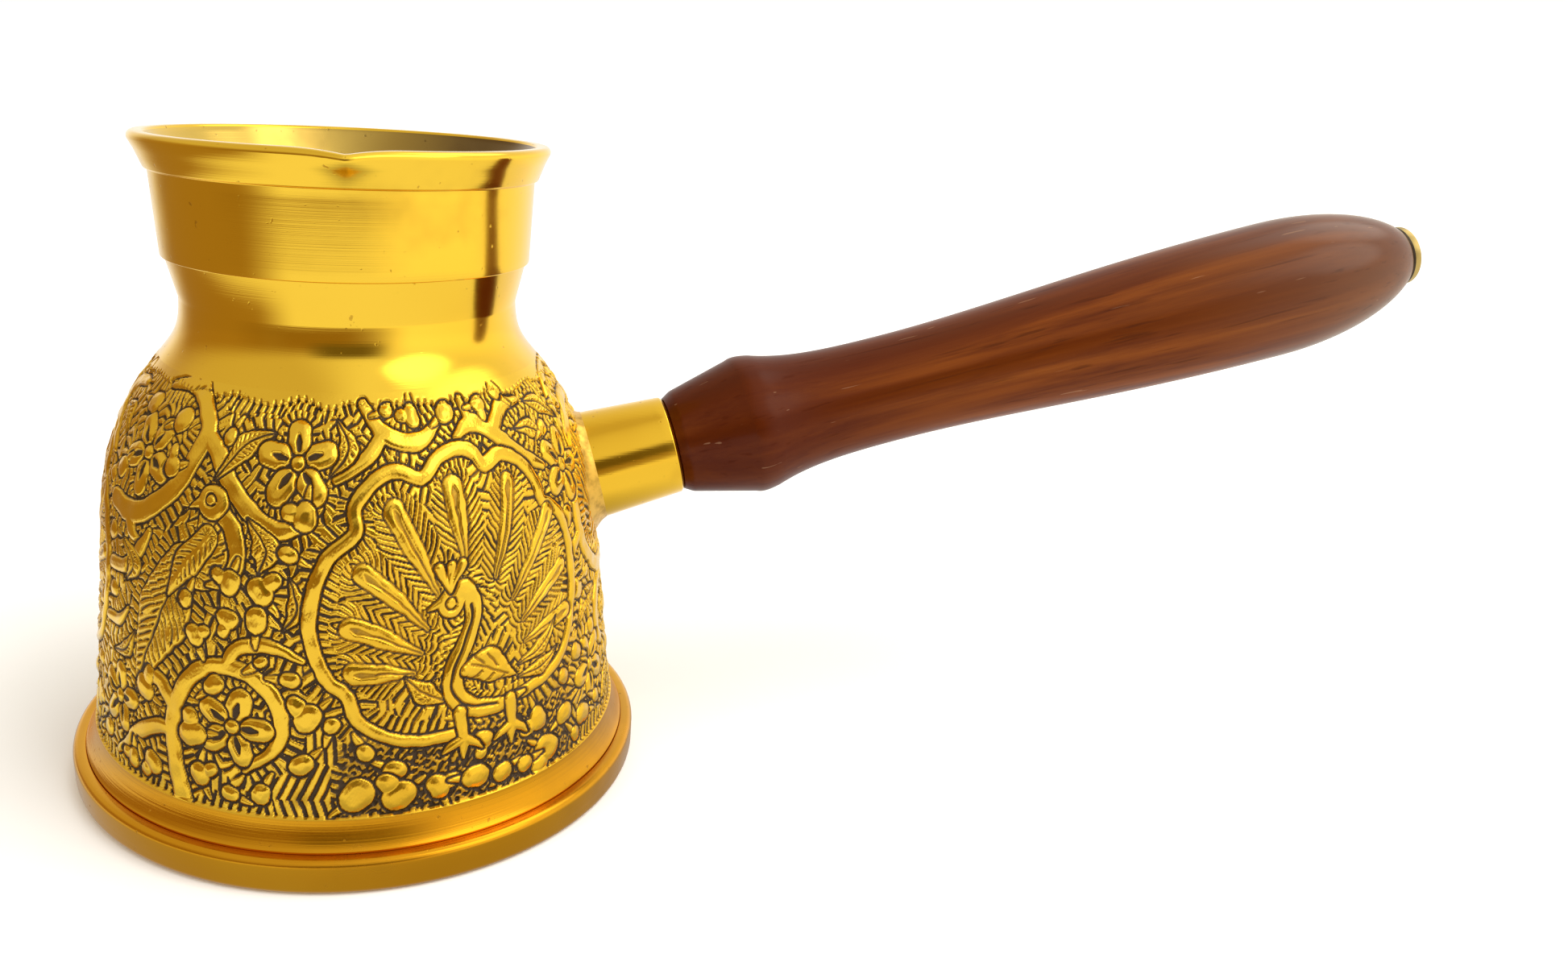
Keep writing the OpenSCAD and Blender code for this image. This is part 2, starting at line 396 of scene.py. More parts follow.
def madeByTree(name, mesh, tree, ids, values):
    # the tree's result as a plain mesh of its own
    piece = bpy.data.objects.new(name, mesh)
    bpy.context.scene.collection.objects.link(piece)
    modifier = piece.modifiers.new("tree", "NODES")
    modifier.node_group = tree
    for label, value in values.items():
        modifier[ids[label]] = value
    graph = bpy.context.evaluated_depsgraph_get()
    result = bpy.data.meshes.new_from_object(piece.evaluated_get(graph))
    piece.modifiers.remove(modifier)
    piece.data = result
    result.name = name
    outwards(piece)
    return piece


def latheTree():
    tree, ids, (outline, columns, material) = newTree("turnOnLathe", {
        "Outline": ("Geometry", None), "Columns": ("Int", 96), "Material": ("Material", None)})
    rows = outline.node("GeometryNodeAttributeDomainSize", {"component": "MESH"}, {0: outline})
    ring = columns + 1
    size = {"Size X": 1.0, "Size Y": 1.0, "Vertices X": rows, "Vertices Y": ring}
    grid = rows.node("GeometryNodeMeshGrid", {}, size)
    index = rows.node("GeometryNodeInputIndex")
    row = index.maths("DIVIDE", ring).maths("FLOOR")
    column = index - row * ring
    position = rows.node("GeometryNodeInputPosition")
    place = rows.node("GeometryNodeSampleIndex", {"data_type": "FLOAT_VECTOR", "domain": "POINT"},
                      {"Geometry": outline, "Value": position, "Index": row})
    angle = column.maths("DIVIDE", columns) * (2 * math.pi)
    turned = rows.node("ShaderNodeVectorRotate", {"rotation_type": "Z_AXIS"},
                       {"Vector": place, "Angle": angle})
    shape = rows.node("GeometryNodeSetPosition", {}, {"Geometry": grid, "Position": turned})
    shape = rows.node("GeometryNodeMergeByDistance", {}, {"Geometry": shape, "Distance": 2e-7})
    endTree(tree, shape, material)
    return tree, ids


latheGroup, latheIds = latheTree()
onHandle = (Matrix.Translation((0, 0, handle["height"] * mm))
            @ Matrix.Rotation(math.radians(90 - handle["rise"]), 4, "Y"))


def turnPiece(name, outline, material, columns=96, place=None, sharp=40):
    # outline is (radius, height) in mm; a ring's outline ends where it starts
    mesh = bpy.data.meshes.new(name)
    points = [(r * mm, 0, z * mm) for r, z in outline]
    mesh.from_pydata(points, [(i, i + 1) for i in range(len(points) - 1)], [])
    piece = madeByTree(name, mesh, latheGroup, latheIds, {"Columns": columns, "Material": material})
    if place is not None:
        piece.data.transform(place)
    piece.data.shade_smooth()
    piece.data.set_sharp_from_angle(angle=math.radians(sharp))
    return piece


# the wall's outside, from the skirt to the waist, with the length along it

skirt = np.array([pot["skirt"], pot["skirtZ"]])
belly = np.array([pot["belly"], pot["bellyZ"]])
throat = np.array([(pot["waist"] + pot["belly"]) / 2 - 1.4, pot["throatZ"]])
waist = np.array([pot["waist"], pot["waistZ"]])
sideUp = (belly - skirt) / np.linalg.norm(belly - skirt)
lean = math.radians(pot["throatLean"])
throatUp = np.array([-math.sin(lean), math.cos(lean)])
sideLine = np.vstack([
    cubic(skirt, skirt + 8 * sideUp, belly - 9.5 * sideUp, belly, 60),
    cubic(belly, belly + 10.3 * sideUp, throat - 4 * throatUp, throat, 60)[1:],
    cubic(throat, throat + 5.7 * throatUp, waist - [0, 5.5], waist, 40)[1:]])
sideLength = np.r_[0, np.cumsum(np.linalg.norm(np.diff(sideLine, axis=0), axis=1))]


def wallAt(length, inset=0.0):
    # points of the outside at these lengths up the wall, moved inwards by inset
    r, z = (np.interp(length, sideLength, sideLine[:, i]) for i in (0, 1))
    ahead = np.stack([np.interp(length + 0.2, sideLength, sideLine[:, i]) for i in (0, 1)], -1)
    behind = np.stack([np.interp(length - 0.2, sideLength, sideLine[:, i]) for i in (0, 1)], -1)
    along = ahead - behind
    along = along / np.linalg.norm(along, axis=-1, keepdims=True)
    out = np.stack([along[..., 1], -along[..., 0]], -1)
    return np.stack([r, z], -1) - out * np.asarray(inset)[..., None]


# pot wall: neck, lip, inside and foot, with a shallow seat for the engraved skin

lip = {"angle": -86, "reach": 1.2, "dip": 0.6, "from": 90.6, "soft": 0.6}
skin = {"height": 58.2, "thick": 1.3, "gap": 0.02}


def potWallOutline():
    top = skin["height"]
    end = sideLength[-1]
    seat = wallAt(np.linspace(0, top, 60), skin["thick"] + skin["gap"])
    shoulder = wallAt(np.r_[top, top + 0.06, np.linspace(top + 0.5, end - 0.5, 22)])
    inner = wallAt(np.linspace(end, 0, 70), pot["wall"])
    bandLow = pot["waist"] + 1.95
    neck = rounded([
        shoulder[-1], (bandLow - 0.5, pot["neckBottom"]), (bandLow, pot["neckBottom"] + 0.05),
        (pot["neck"], pot["neckTop"]), (pot["neck"] + 0.5, pot["neckTop"] + 0.15),
        (pot["rim"] - 0.25, potTop - 1.2)], 0.14)[1:]
    neckRows = []
    for a, b in zip(neck, neck[1:]):
        count = max(1, int(np.linalg.norm(b - a) / 1.2))
        neckRows += [a + (b - a) * i / count for i in range(count)]
    rimInner = pot["rim"] - pot["wall"]
    lipOut = arc((pot["rim"] - 0.8, potTop - 0.8), 0.8, -15, 90, 7)
    lipIn = arc((rimInner + 0.5, potTop - 0.5), 0.5, 90, 180, 5)
    neckInner, lipFoot = pot["neck"] - pot["wall"], potTop - 0.5
    bore = [(rimInner - (rimInner - neckInner) * t, lipFoot - (lipFoot - pot["neckTop"]) * t)
            for t in np.arange(1, 8) / 8]
    inside = [(neckInner, pot["neckTop"]), (pot["waist"] + 1.5 - pot["wall"], pot["neckBottom"])]
    foot = rounded([
        (inner[-1][0], pot["skirtZ"] - 3.5), (cornerRadius, pot["skirtZ"] - 5.2),
        (cornerRadius, floorThick), (pot["seat"], floorThick),
        (pot["seat"], pot["skirtZ"] - 4.3)], 0.3)
    flare = cubic((pot["seat"], pot["skirtZ"] - 3.9), (pot["seat"] - 0.5, pot["skirtZ"] - 3.5),
                  (pot["skirt"] + 0.25, pot["skirtZ"] - 1.6), (pot["skirt"], pot["skirtZ"] - 0.04), 10)
    return np.vstack([flare, skirt[None], seat, shoulder, neckRows, lipOut, lipIn, bore, inside, inner, foot,
                      flare[:1]])


def pourLip(piece):
    # the rim pushed out and down into a small V
    co = np.zeros(len(piece.data.vertices) * 3)
    piece.data.vertices.foreach_get("co", co)
    co = co.reshape(-1, 3) / mm
    radius = np.hypot(co[:, 0], co[:, 1])
    away = np.degrees(np.arctan2(co[:, 1], co[:, 0])) - lip["angle"]
    away = (away + 180) % 360 - 180
    reachAngle = math.degrees(math.acos(pot["rim"] / (pot["rim"] + lip["reach"])))
    soft = np.sqrt(away ** 2 + lip["soft"] ** 2)
    inside = np.clip(reachAngle - soft, 0, None)
    push = pot["rim"] * (1 / np.cos(np.radians(inside)) - 1)
    lift = smoothStep(co[:, 2], lip["from"], potTop - 0.2)
    grown = 1 + push * lift / np.maximum(radius, 1)
    co[:, 0] *= grown
    co[:, 1] *= grown
    co[:, 2] -= lip["dip"] * (push / lip["reach"]) ** 1.2 * lift
    piece.data.vertices.foreach_set("co", (co * mm).ravel())
    piece.data.update()


def shadeAndTarnishInside(piece):
    # the faces that look at the pot's axis, below the edge of the rim, take the inner finish with its painted
    # shade, and the plain foot outside takes the foot finish
    piece.data.materials.clear()
    for name in ("turned", "inner", "foot"):
        piece.data.materials.append(finish[name])
    for face in piece.data.polygons:
        across = face.center.x * face.normal.x + face.center.y * face.normal.y
        if across < 0 and floorThick * mm < face.center.z < (potTop - 0.4) * mm:
            face.material_index = 1
        elif face.center.z < pot["skirtZ"] * mm + 0.0004:
            face.material_index = 2
        else:
            face.material_index = 0


potWall = turnPiece("pot_wall", potWallOutline(), finish["turned"], columns=288, sharp=28)
shadeAndTarnishInside(potWall)
pourLip(potWall)
settle(potWall, "engraved_brass", "pot_body")


# engraving: shapes are drawn on the unrolled belly, in mm; u runs round the pot, v up the wall

engraving = {
    "refRadius": 39.0,
    "columns": 273,          # of one panel
    "rows": 346,
    "panels": 6,
    "repeats": 3,            # of the whole pattern round the pot
    "firstSeam": -100.2,
    "edgeDrop": 0.16,        # how far a raised shape rounds off towards its edge
    "round": 0.75,
    "outline": 0.30,         # width of the cut round each raised shape
    "outlineDepth": 0.55,
    "ground": 0.26,          # depth of the hatched ground
    "hatch": 0.30,           # extra depth of a hatching cut
    "pitch": 1.30,
    "reach": 5.5,            # how far a shape's own hatching may run
    "ownHatch": 2.4,         # and how far it does before the loose hatching takes over
    "topEdge": 56.2,
    "wobble": 0.16,
    "shake": 0.05,           # small unevenness of the chisel
}
roundLength = 2 * math.pi * engraving["refRadius"]
unit = roundLength / engraving["repeats"]
seed = np.random.default_rng(41)


def smoothNoise(u, v, size, strength, layers=1):
    # a sum of sines that closes round the pot
    total = np.zeros(np.broadcast(u, v).shape)
    for layer in range(layers):
        for _ in range(7):
            turns = int(round(seed.uniform(-1.3, 1.3) * roundLength / size * 2 ** layer))
            rise = seed.uniform(-1.3, 1.3) * 2 * math.pi / size * 2 ** layer
            phase = seed.uniform(0, 2 * math.pi)
            total += np.sin(2 * math.pi * turns * u / roundLength + rise * v + phase) / 2 ** layer
    return total * strength / 2.6


def ribbon(points, widths, steps=5):
    # a smooth path through the points, with a half width that varies along it
    p = np.array(points, float)
    widths = np.atleast_1d(widths)
    w = np.interp(np.linspace(0, 1, len(p)), np.linspace(0, 1, len(widths)), widths)
    if len(p) == 1:
        return np.c_[p, w, [[0.0]]]
    q = np.vstack([2 * p[0] - p[1], p, 2 * p[-1] - p[-2]])
    path = []
    for i in range(len(q) - 3):
        a, b, c, d = q[i:i + 4]
        for t in np.arange(steps) / steps:
            point = 0.5 * (2 * b + (c - a) * t + (2 * a - 5 * b + 4 * c - d) * t * t
                           + (3 * b - a - 3 * c + d) * t ** 3)
            path.append((*point, w[i] * (1 - t) + w[i + 1] * t))
    path.append((*q[-2], w[-1]))
    path = np.array(path)
    length = np.r_[0, np.cumsum(np.linalg.norm(np.diff(path[:, :2], axis=0), axis=1))]
    return np.c_[path, length]


class Relief:
    def __init__(self, sizes):
        self.sizes = sizes
        self.count = sizes["columns"] * sizes["panels"]
        self.du = roundLength / self.count
        self.dv = skin["height"] / (sizes["rows"] - 1)
        self.v = np.arange(sizes["rows"]) * self.dv
        self.u = sizes["firstSeam"] + np.arange(self.count) * self.du
        u, v = np.meshgrid(self.u, self.v)
        shifts = [smoothNoise(u, v, 14, sizes["wobble"]) + smoothNoise(u, v, 2.6, sizes["shake"])
                  for _ in range(2)]
        self.shiftU, self.shiftV = shifts[0], shifts[1] * smoothStep(v, 0, 4)
        shape = u.shape
        self.raised = np.zeros(shape, bool)
        self.top = np.zeros(shape)
        self.cut = np.zeros(shape)
        self.gap = np.full(shape, sizes["ownHatch"])
        self.run, self.shapeSeed = self.looseHatching(u, v)   # run is the length that spaces the hatching
        self.slant = np.zeros(shape)
        self.pitch = np.full(shape, sizes["pitch"])

    def looseHatching(self, u, v, cell=8.2):
        # patches of straight cuts, each at its own angle
        nearest = np.full(u.shape, 99.0)
        run, patch = np.zeros(u.shape), np.zeros(u.shape)
        around, up = int(round(roundLength / cell)), int(math.ceil(skin["height"] / cell))
        for i in range(around):
            for j in range(up):
                cu = self.u[0] + (i + 0.5 * (j % 2) + seed.uniform(-0.3, 0.3)) * roundLength / around
                cv = (j + 0.5 + seed.uniform(-0.3, 0.3)) * cell
                side = (u - cu + roundLength / 2) % roundLength - roundLength / 2
                away = np.hypot(side, v - cv)
                angle = math.radians(seed.choice([-62, -28, 8, 35, 70]) + seed.uniform(-10, 10))
                closer = away < nearest
                nearest = np.where(closer, away, nearest)
                run = np.where(closer, side * math.cos(angle) + (v - cv) * math.sin(angle), run)
                patch = np.where(closer, seed.uniform(0, 50), patch)
        return run, patch

    def window(self, ribbons, margin):
        low = np.min([(r[:, :2] - r[:, 2:3]).min(0) for r in ribbons], 0) - margin
        high = np.max([(r[:, :2] + r[:, 2:3]).max(0) for r in ribbons], 0) + margin
        left, right = (low[0] - self.u[0]) / self.du, (high[0] - self.u[0]) / self.du
        columns = np.arange(math.floor(left), math.ceil(right))
        rows = np.arange(max(0, math.floor(low[1] / self.dv)), min(len(self.v), math.ceil(high[1] / self.dv)))
        where = np.ix_(rows, columns % self.count)
        u = self.u[0] + columns * self.du + self.shiftU[where]
        v = self.v[rows][:, None] + self.shiftV[where]
        return where, u, v

    def nearest(self, ribbons, u, v):
        best = np.full(u.shape, 99.0)
        run = np.zeros(u.shape)
        middle = np.full(u.shape, 99.0)
        offset = 0.0
        for path in ribbons:
            starts, ends = (path[:-1], path[1:]) if len(path) > 1 else (path, path)
            for number, (a, b) in enumerate(zip(starts, ends)):
                step = b[:2] - a[:2]
                square = max(step @ step, 1e-9)
                free = ((u - a[0]) * step[0] + (v - a[1]) * step[1]) / square
                t = np.clip(free, 0, 1)
                away = np.hypot(u - a[0] - t * step[0], v - a[1] - t * step[1])
                d = away - (a[2] + t * (b[2] - a[2]))
                closer = d < best
                best = np.where(closer, d, best)
                middle = np.where(closer, away, middle)
                first, last = number == 0, number == len(path) - 2
                reach = np.clip(free, 0 if first else None, 1 if last else None) if first or last else free
                along = a[3] + reach * (b[3] - a[3]) + offset
                if len(path) == 1:
                    along = np.arctan2(v - a[1], u - a[0]) * (a[2] + 1.0)
                elif first or last:
                    # past the end of the path the cuts fan out
                    tip, way = (a, -1) if first else (b, 1)
                    beyond = ((u - tip[0]) * step[0] + (v - tip[1]) * step[1]) * way / math.sqrt(square)
                    aside = np.abs((u - tip[0]) * step[1] - (v - tip[1]) * step[0]) / math.sqrt(square)
                    fan = np.arctan2(np.clip(beyond, 0, None), aside + 1e-6) * (tip[2] + 1.2)
                    along = along + fan * way
                run = np.where(closer, along, run)
            offset += path[-1, 3] + 0.37
        return best, run, middle

    def lift(self, ribbons, level=0.0, slant=None, pitch=None, outline=1.0, veins=None, hatched=True,
             dome=1.0):
        s = self.sizes
        where, u, v = self.window(ribbons, s["reach"])
        d, run, middle = self.nearest(ribbons, u, v)
        inside = d < 0
        drop = s["edgeDrop"] * dome * (1 - smoothStep(-d, 0, s["round"] * dome)) + level
        self.top[where] = np.where(inside, -drop, self.top[where])
        ring = outline * 0.95 * (1 - smoothStep(np.abs(d - 0.12), 0.06, s["outline"] / 2 + 0.12))
        cut = np.where(inside, 0.0, self.cut[where])
        self.cut[where] = np.where(d > -0.1, np.maximum(cut, ring), cut)
        closer = ((d < self.gap[where]) & hatched) | inside
        self.gap[where] = np.where(closer, d, self.gap[where])
        self.run[where] = np.where(closer, run, self.run[where])
        if slant is None:
            slant = seed.uniform(-0.45, 0.45)
        self.slant[where] = np.where(closer, slant, self.slant[where])
        self.pitch[where] = np.where(closer, pitch or s["pitch"], self.pitch[where])
        self.shapeSeed[where] = np.where(closer, seed.uniform(0, 50), self.shapeSeed[where])
        self.raised[where] |= inside
        if veins:
            space, lineSlant, border = veins
            phase = (run + lineSlant * middle) / space
            wave = 1 - smoothStep(np.abs((phase % 1) - 0.5), 0.08, 0.22)
            line = wave * smoothStep(-d, border, border + 0.3) * smoothStep(middle, 0.25, 0.5) * 0.75
            self.cut[where] = np.where(inside, np.maximum(self.cut[where], line), self.cut[where])

    def engrave(self, ribbons, strength, width):
        where, u, v = self.window(ribbons, 1.5)
        d = self.nearest(ribbons, u, v)[0]
        line = strength * (1 - smoothStep(d, 0, width))
        self.cut[where] = np.maximum(self.cut[where], line)


relief = Relief(engraving)


# motifs; each takes a function that puts its own drawing on the belly

def placed(u, v, turn=0.0, mirror=False):
    c, s = math.cos(math.radians(turn)), math.sin(math.radians(turn))
    flip = -1 if mirror else 1

    def put(points):
        p = np.array(points, float)
        x, y = p[:, 0] * c - p[:, 1] * s, p[:, 0] * s + p[:, 1] * c
        return np.stack([u + flip * x, v + y], 1)
    return put


def berry(put, x, y, r):
    # an oval bud on a short stem, and now and then a second one beside it
    turn = seed.uniform(0, 2 * math.pi)
    ahead = np.array([math.cos(turn), math.sin(turn)])
    here = np.array([x, y])
    stem = ribbon(put([here, here + ahead * (r + 0.8), here + ahead * (r + 2.0)]), [0.55, 0.5, 0.25])
    relief.lift([stem], hatched=False, outline=0.8)
    shapes = [ribbon(put([here - ahead * r * 0.22, here + ahead * r * 0.22]), [r * 0.92, r * 0.86])]
    if r > 1.35 and seed.uniform() < 0.5:
        aside = np.array([-ahead[1], ahead[0]]) * r * 1.1
        shapes.append(ribbon(put([here + aside, here + aside * 1.25]), [r * 0.66, r * 0.6]))
    relief.lift(shapes, hatched=False, dome=1.6)


def scratch(put, points, half, strength, width):
    # one fine cut along a drawn line
    relief.engrave([ribbon(put(points), half)], strength, width)


def leaf(put, points, width):
    width = width * 1.15
    relief.lift([ribbon(put(points), [0.15, width, width * 0.85, 0.1])],
                veins=(0.8, -0.8, 0.25) if width > 1.2 else None)
    if width > 0.9:
        scratch(put, points, 0.05, 0.8, 0.26)


def flower(put, reach, turn, petal):
    for k in range(5):
        a = math.radians(turn + 72 * k)
        tip = (math.cos(a), math.sin(a))
        spine = [(tip[0] * f * reach, tip[1] * f * reach) for f in (0.34, 0.62, 0.88)]
        relief.lift([ribbon(put(spine), [0.7, petal * 1.08, petal * 1.02])], dome=1.5)
        notch = [(tip[0] * f * reach, tip[1] * f * reach) for f in (0.36, 0.55, 0.76)]
        scratch(put, notch, [0.2, 0.36, 0.05], 0.95, 0.3)
    relief.lift([ribbon(put([(0, 0)]), 1.05)], dome=1.5)


def vines(put, *branches):
    # branches raised together: each has its points, its width and the widths of its two ends
    ribbons = []
    for points, width, first, last in branches:
        thick = 1.28 * width
        ribbons.append(ribbon(put(points), [first * 1.2, thick, thick * 0.92, thick, last * 1.2]))
    relief.lift(ribbons)


def leaves(put, *shapes):
    for points, width in shapes:
        leaf(put, points, width)


def berries(put, *buds):
    for x, y, r in buds:
        berry(put, x, y, r)


medallionFrame = [
    (-2.6, -18.6), (-7.6, -18.4), (-12.4, -17.0), (-15.6, -14.6), (-16.6, -11.2), (-19.4, -8.8),
    (-21.2, -3.6), (-21.0, 2.4), (-18.8, 7.8), (-15.0, 10.8), (-14.9, 14.4), (-12.2, 17.6), (-8.4, 18.6),
    (-4.8, 17.3), (-2.2, 19.9), (1.2, 21.0), (4.4, 20.2), (6.2, 18.0), (9.4, 19.2), (12.8, 17.8),
    (15.2, 14.6), (16.0, 11.2), (19.2, 8.8), (21.4, 4.0), (21.8, -1.6), (20.6, -7.6), (18.0, -12.0),
    (13.4, -14.8), (7.6, -15.6)]


def feather(put, root, angle, near, far, width):
    # a long bud with a split heart, and barbs on both sides
    a = math.radians(angle)
    spine = [(root[0] + f * math.cos(a), root[1] + f * math.sin(a) - bend)
             for f, bend in ((near, 0.0), ((near + far) / 2, -0.25), (far, 0.0))]
    relief.lift([ribbon(put(spine), [0.3, width * 0.85, width])], level=0.03, slant=-1.0, pitch=1.12,
                outline=0.8)
    tip = [(root[0] + f * math.cos(a), root[1] + f * math.sin(a)) for f in (far - 2.8, far - 1.0, far - 0.1)]
    scratch(put, [spine[0], spine[1], tip[0]], 0.05, 0.7, 0.22)
    scratch(put, tip, [0.1, 0.32, 0.05], 0.55, 0.26)


def peacock(put):
    root = (1.6, -9.4)
    fan = [(176, 9.5, 17.2), (157, 9.0, 19.2), (137, 10.0, 21.5), (116, 12.5, 25.5), (94, 14.5, 25.5),
           (72, 12.5, 26.0), (51, 10.5, 24.0), (30, 9.5, 20.0), (10, 8.5, 18.0)]
    for angle, near, far in fan:
        feather(put, root, angle, near, far, 1.5 if angle > 80 else 1.2)
    leaves(put, ([(-3.5, -13.6), (-6.5, -12.0), (-9.0, -9.2)], 1.5),
           ([(8.2, -13.0), (12.5, -13.0), (16.4, -11.0)], 1.2),
           ([(8.4, -11.0), (12.8, -9.8), (16.8, -6.4)], 1.2))
    # neck and body in one sweep, then the wing
    neck = [(-2.2, 1.2), (0.2, 1.8), (1.4, -0.8), (0.4, -4.6), (-1.8, -8.2), (-2.4, -12.0), (-0.4, -14.8),
            (4.2, -15.9), (9.0, -15.4)]
    body = ribbon(put(neck), [1.1, 1.3, 1.2, 1.15, 1.3, 1.6, 1.6, 1.2, 0.3])
    head = ribbon(put([(-2.0, 0.2)]), 1.95)
    beak = ribbon(put([(-3.2, 0.6), (-5.4, -0.2)]), [0.8, 0.12])
    relief.lift([body, head, beak], slant=-0.9, pitch=1.12)
    nape = [(1.0, -0.4), (0.9, -2.4), (-0.4, -5.6), (-2.2, -9.0), (-2.6, -12.2), (-0.6, -14.6), (4.0, -15.4)]
    scratch(put, nape, 0.10, 0.9, 0.26)
    wing = [(-0.4, -9.8), (3.4, -9.6), (7.6, -12.2)]
    relief.lift([ribbon(put(wing), [0.9, 2.5, 0.2])], level=0.02)
    scratch(put, [(0.4, -9.0), (3.0, -9.9), (6.2, -11.6)], 0.04, 0.7, 0.22)
    for start, end in (((0.2, -11.2), (2.0, -10.2)), ((2.2, -12.0), (3.8, -10.8)), ((0.8, -7.9), (2.4, -9.2)),
                       ((3.0, -7.9), (4.6, -9.8)), ((4.6, -12.4), (5.6, -11.7))):
        scratch(put, [start, end], 0.04, 0.7, 0.24)
    # eye ring, crest and feet
    scratch(put, arc((-2.0, 0.3), 0.85, 0, 330, 8), 0.04, 0.9, 0.22)
    crest = [ribbon(put([(-2.0, 2.0), (-2.2 + x, 3.6), (-2.0 + 2.2 * x, 5.4)]), [0.35, 0.45, 0.75])
             for x in (-0.75, 0.1, 0.95)]
    relief.lift(crest, slant=-0.6, pitch=1.12)
    for x, y in ((-1.4, -15.6), (6.4, -15.6)):
        leg = ribbon(put([(x, y), (x + 0.2, y - 4.0)]), [0.95, 0.75])
        heelX, heelY = x + 0.2, y - 3.8
        toes = [ribbon(put([(heelX, heelY), (heelX + dx * 0.6, heelY + dy * 0.5), (heelX + dx, heelY + dy)]),
                       [0.8, 0.65, 0.2]) for dx, dy in ((-3.0, -1.6), (-0.2, -2.9), (2.6, -2.1))]
        relief.lift([leg, *toes])


def medallion(u, v, mirror):
    put = placed(u, v, mirror=mirror)
    relief.lift([ribbon(put(medallionFrame), [0.85, 1.05, 1.05, 1.05, 0.8], steps=4)], slant=0.25)
    peacock(put)


def songbird(put):
    # long veined tail, round back, wing and small head
    tail = [(-2.8, -0.6), (-6.6, -8.2), (-12.6, -21.4)]
    relief.lift([ribbon(put(tail), [2.6, 4.9, 0.2])], veins=(1.4, -1.1, 0.3))
    scratch(put, [(-2.4, 0.4), *tail[1:]], 0.06, 0.85, 0.3)
    back = [(3.0, 7.4), (5.4, 4.8), (6.2, 1.2), (4.6, -1.6), (1.6, -2.6)]
    relief.lift([ribbon(put([(1.6, 6.6), (2.4, 2.6), (0.6, -0.6), (-2.4, -0.8)]), [1.9, 3.2, 2.9, 1.8])],
                veins=(1.3, 0.7, 0.5))
    relief.lift([ribbon(put(back), [1.2, 1.3, 1.2, 1.0, 0.3])])
    wing = [(1.4, 3.4), (-1.8, -0.2), (-5.4, -5.4)]
    relief.lift([ribbon(put(wing), [1.7, 2.1, 0.2])], veins=(1.2, -0.9, 0.25))
    head = ribbon(put([(1.8, 8.2)]), 2.4)
    beak = ribbon(put([(0.6, 8.4), (-2.2, 7.2)]), [1.0, 0.15])
    relief.lift([head, beak])
    scratch(put, arc((1.6, 8.5), 0.85, 0, 330, 8), 0.05, 0.95, 0.22)


def birdPanel(u, mirror=False):
    put = placed(u, 0, mirror=mirror)

    def here(x, y):
        return placed(u + (-x if mirror else x), y, mirror=mirror)

    # climbing vine with its forks
    vines(put, ([(1.2, -0.5), (-0.4, 5.0), (-1.0, 11.0), (1.2, 17.4), (5.8, 20.6), (11.4, 19.8),
                 (15.2, 15.6), (14.6, 10.2), (10.6, 6.4)], 1.0, 1.3, 0.5),
               ([(-0.8, 9.6), (-4.0, 9.4), (-8.4, 6.6), (-13.2, 2.4)], 0.95, 0.9, 0.5),
               ([(-0.6, 13.0), (-3.4, 16.4), (-7.4, 16.2)], 0.9, 0.9, 0.9),
               ([(7.6, 20.8), (9.8, 23.6), (14.2, 24.2), (18.4, 22.4)], 0.85, 0.8, 0.4))
    vines(put, ([(-3.4, 57.5), (-0.6, 54.6), (1.6, 51.6), (0.6, 47.6), (-1.8, 44.0), (-7.4, 39.2),
                 (-12.4, 38.0), (-16.8, 38.6)], 1.15, 1.2, 1.3),
               ([(1.2, 51.4), (4.6, 48.8), (9.0, 43.6), (14.2, 40.0), (18.6, 40.4)], 1.1, 0.9, 0.6),
               ([(-12.0, 38.0), (-10.6, 35.8), (-8.8, 34.8)], 0.9, 0.8, 0.5),
               ([(-0.6, 54.8), (-6.0, 57.0), (-12.0, 56.6)], 0.9, 0.8, 0.5))
    vines(put, ([(-16.6, 29.4), (-12.4, 30.2), (-8.8, 33.4), (-6.2, 36.6)], 0.85, 0.9, 0.4),
               ([(-17.8, 21.2), (-14.2, 21.8), (-11.2, 24.2)], 0.75, 0.7, 0.3))
    songbird(here(3.4, 34.2))
    leaves(put, ([(10.8, 41.0), (13.6, 37.4), (12.6, 33.8)], 1.9),
           ([(5.0, 45.6), (9.2, 50.4), (13.6, 52.4)], 1.7),
           ([(-13.2, 34.4), (-9.8, 31.4), (-12.0, 28.2)], 1.5),
           ([(-15.6, 16.6), (-11.4, 18.4), (-9.2, 21.6)], 1.2),
           ([(16.8, 33.4), (18.0, 29.6), (16.0, 26.6)], 1.3))
    flower(here(17.6, 48.4), 5.2, 20, 1.75)
    flower(here(-10.2, 46.6), 5.2, 52, 1.7)
    flower(here(8.6, 12.2), 4.7, 75, 1.6)
    flower(here(-13.6, 10.4), 4.3, 10, 1.45)
    berries(put, (-14.6, 53.2, 1.9), (-4.6, 52.0, 1.9), (-3.8, 46.0, 1.5), (6.0, 51.4, 1.2),
                 (19.0, 41.8, 1.7), (8.4, 32.4, 1.6), (12.8, 31.4, 1.8), (16.6, 36.8, 1.3),
                 (8.0, 27.4, 1.5), (12.2, 27.6, 1.7), (2.6, 24.2, 1.4), (5.8, 17.8, 1.5), (13.0, 21.8, 0.9),
                 (2.4, 10.0, 2.0), (3.6, 4.4, 1.6), (19.2, 14.6, 1.9), (18.0, 7.8, 1.6), (-6.8, 14.2, 1.9),
                 (-5.0, 3.6, 1.7), (-9.4, 2.6, 1.4), (-17.6, 3.8, 1.6), (-16.4, 25.6, 1.3),
                 (-17.0, 34.0, 1.4), (-16.8, 43.2, 1.6), (12.6, 3.2, 1.5), (8.2, 2.6, 1.2),
                 (16.8, 19.6, 1.2), (1.2, 29.0, 1.2))


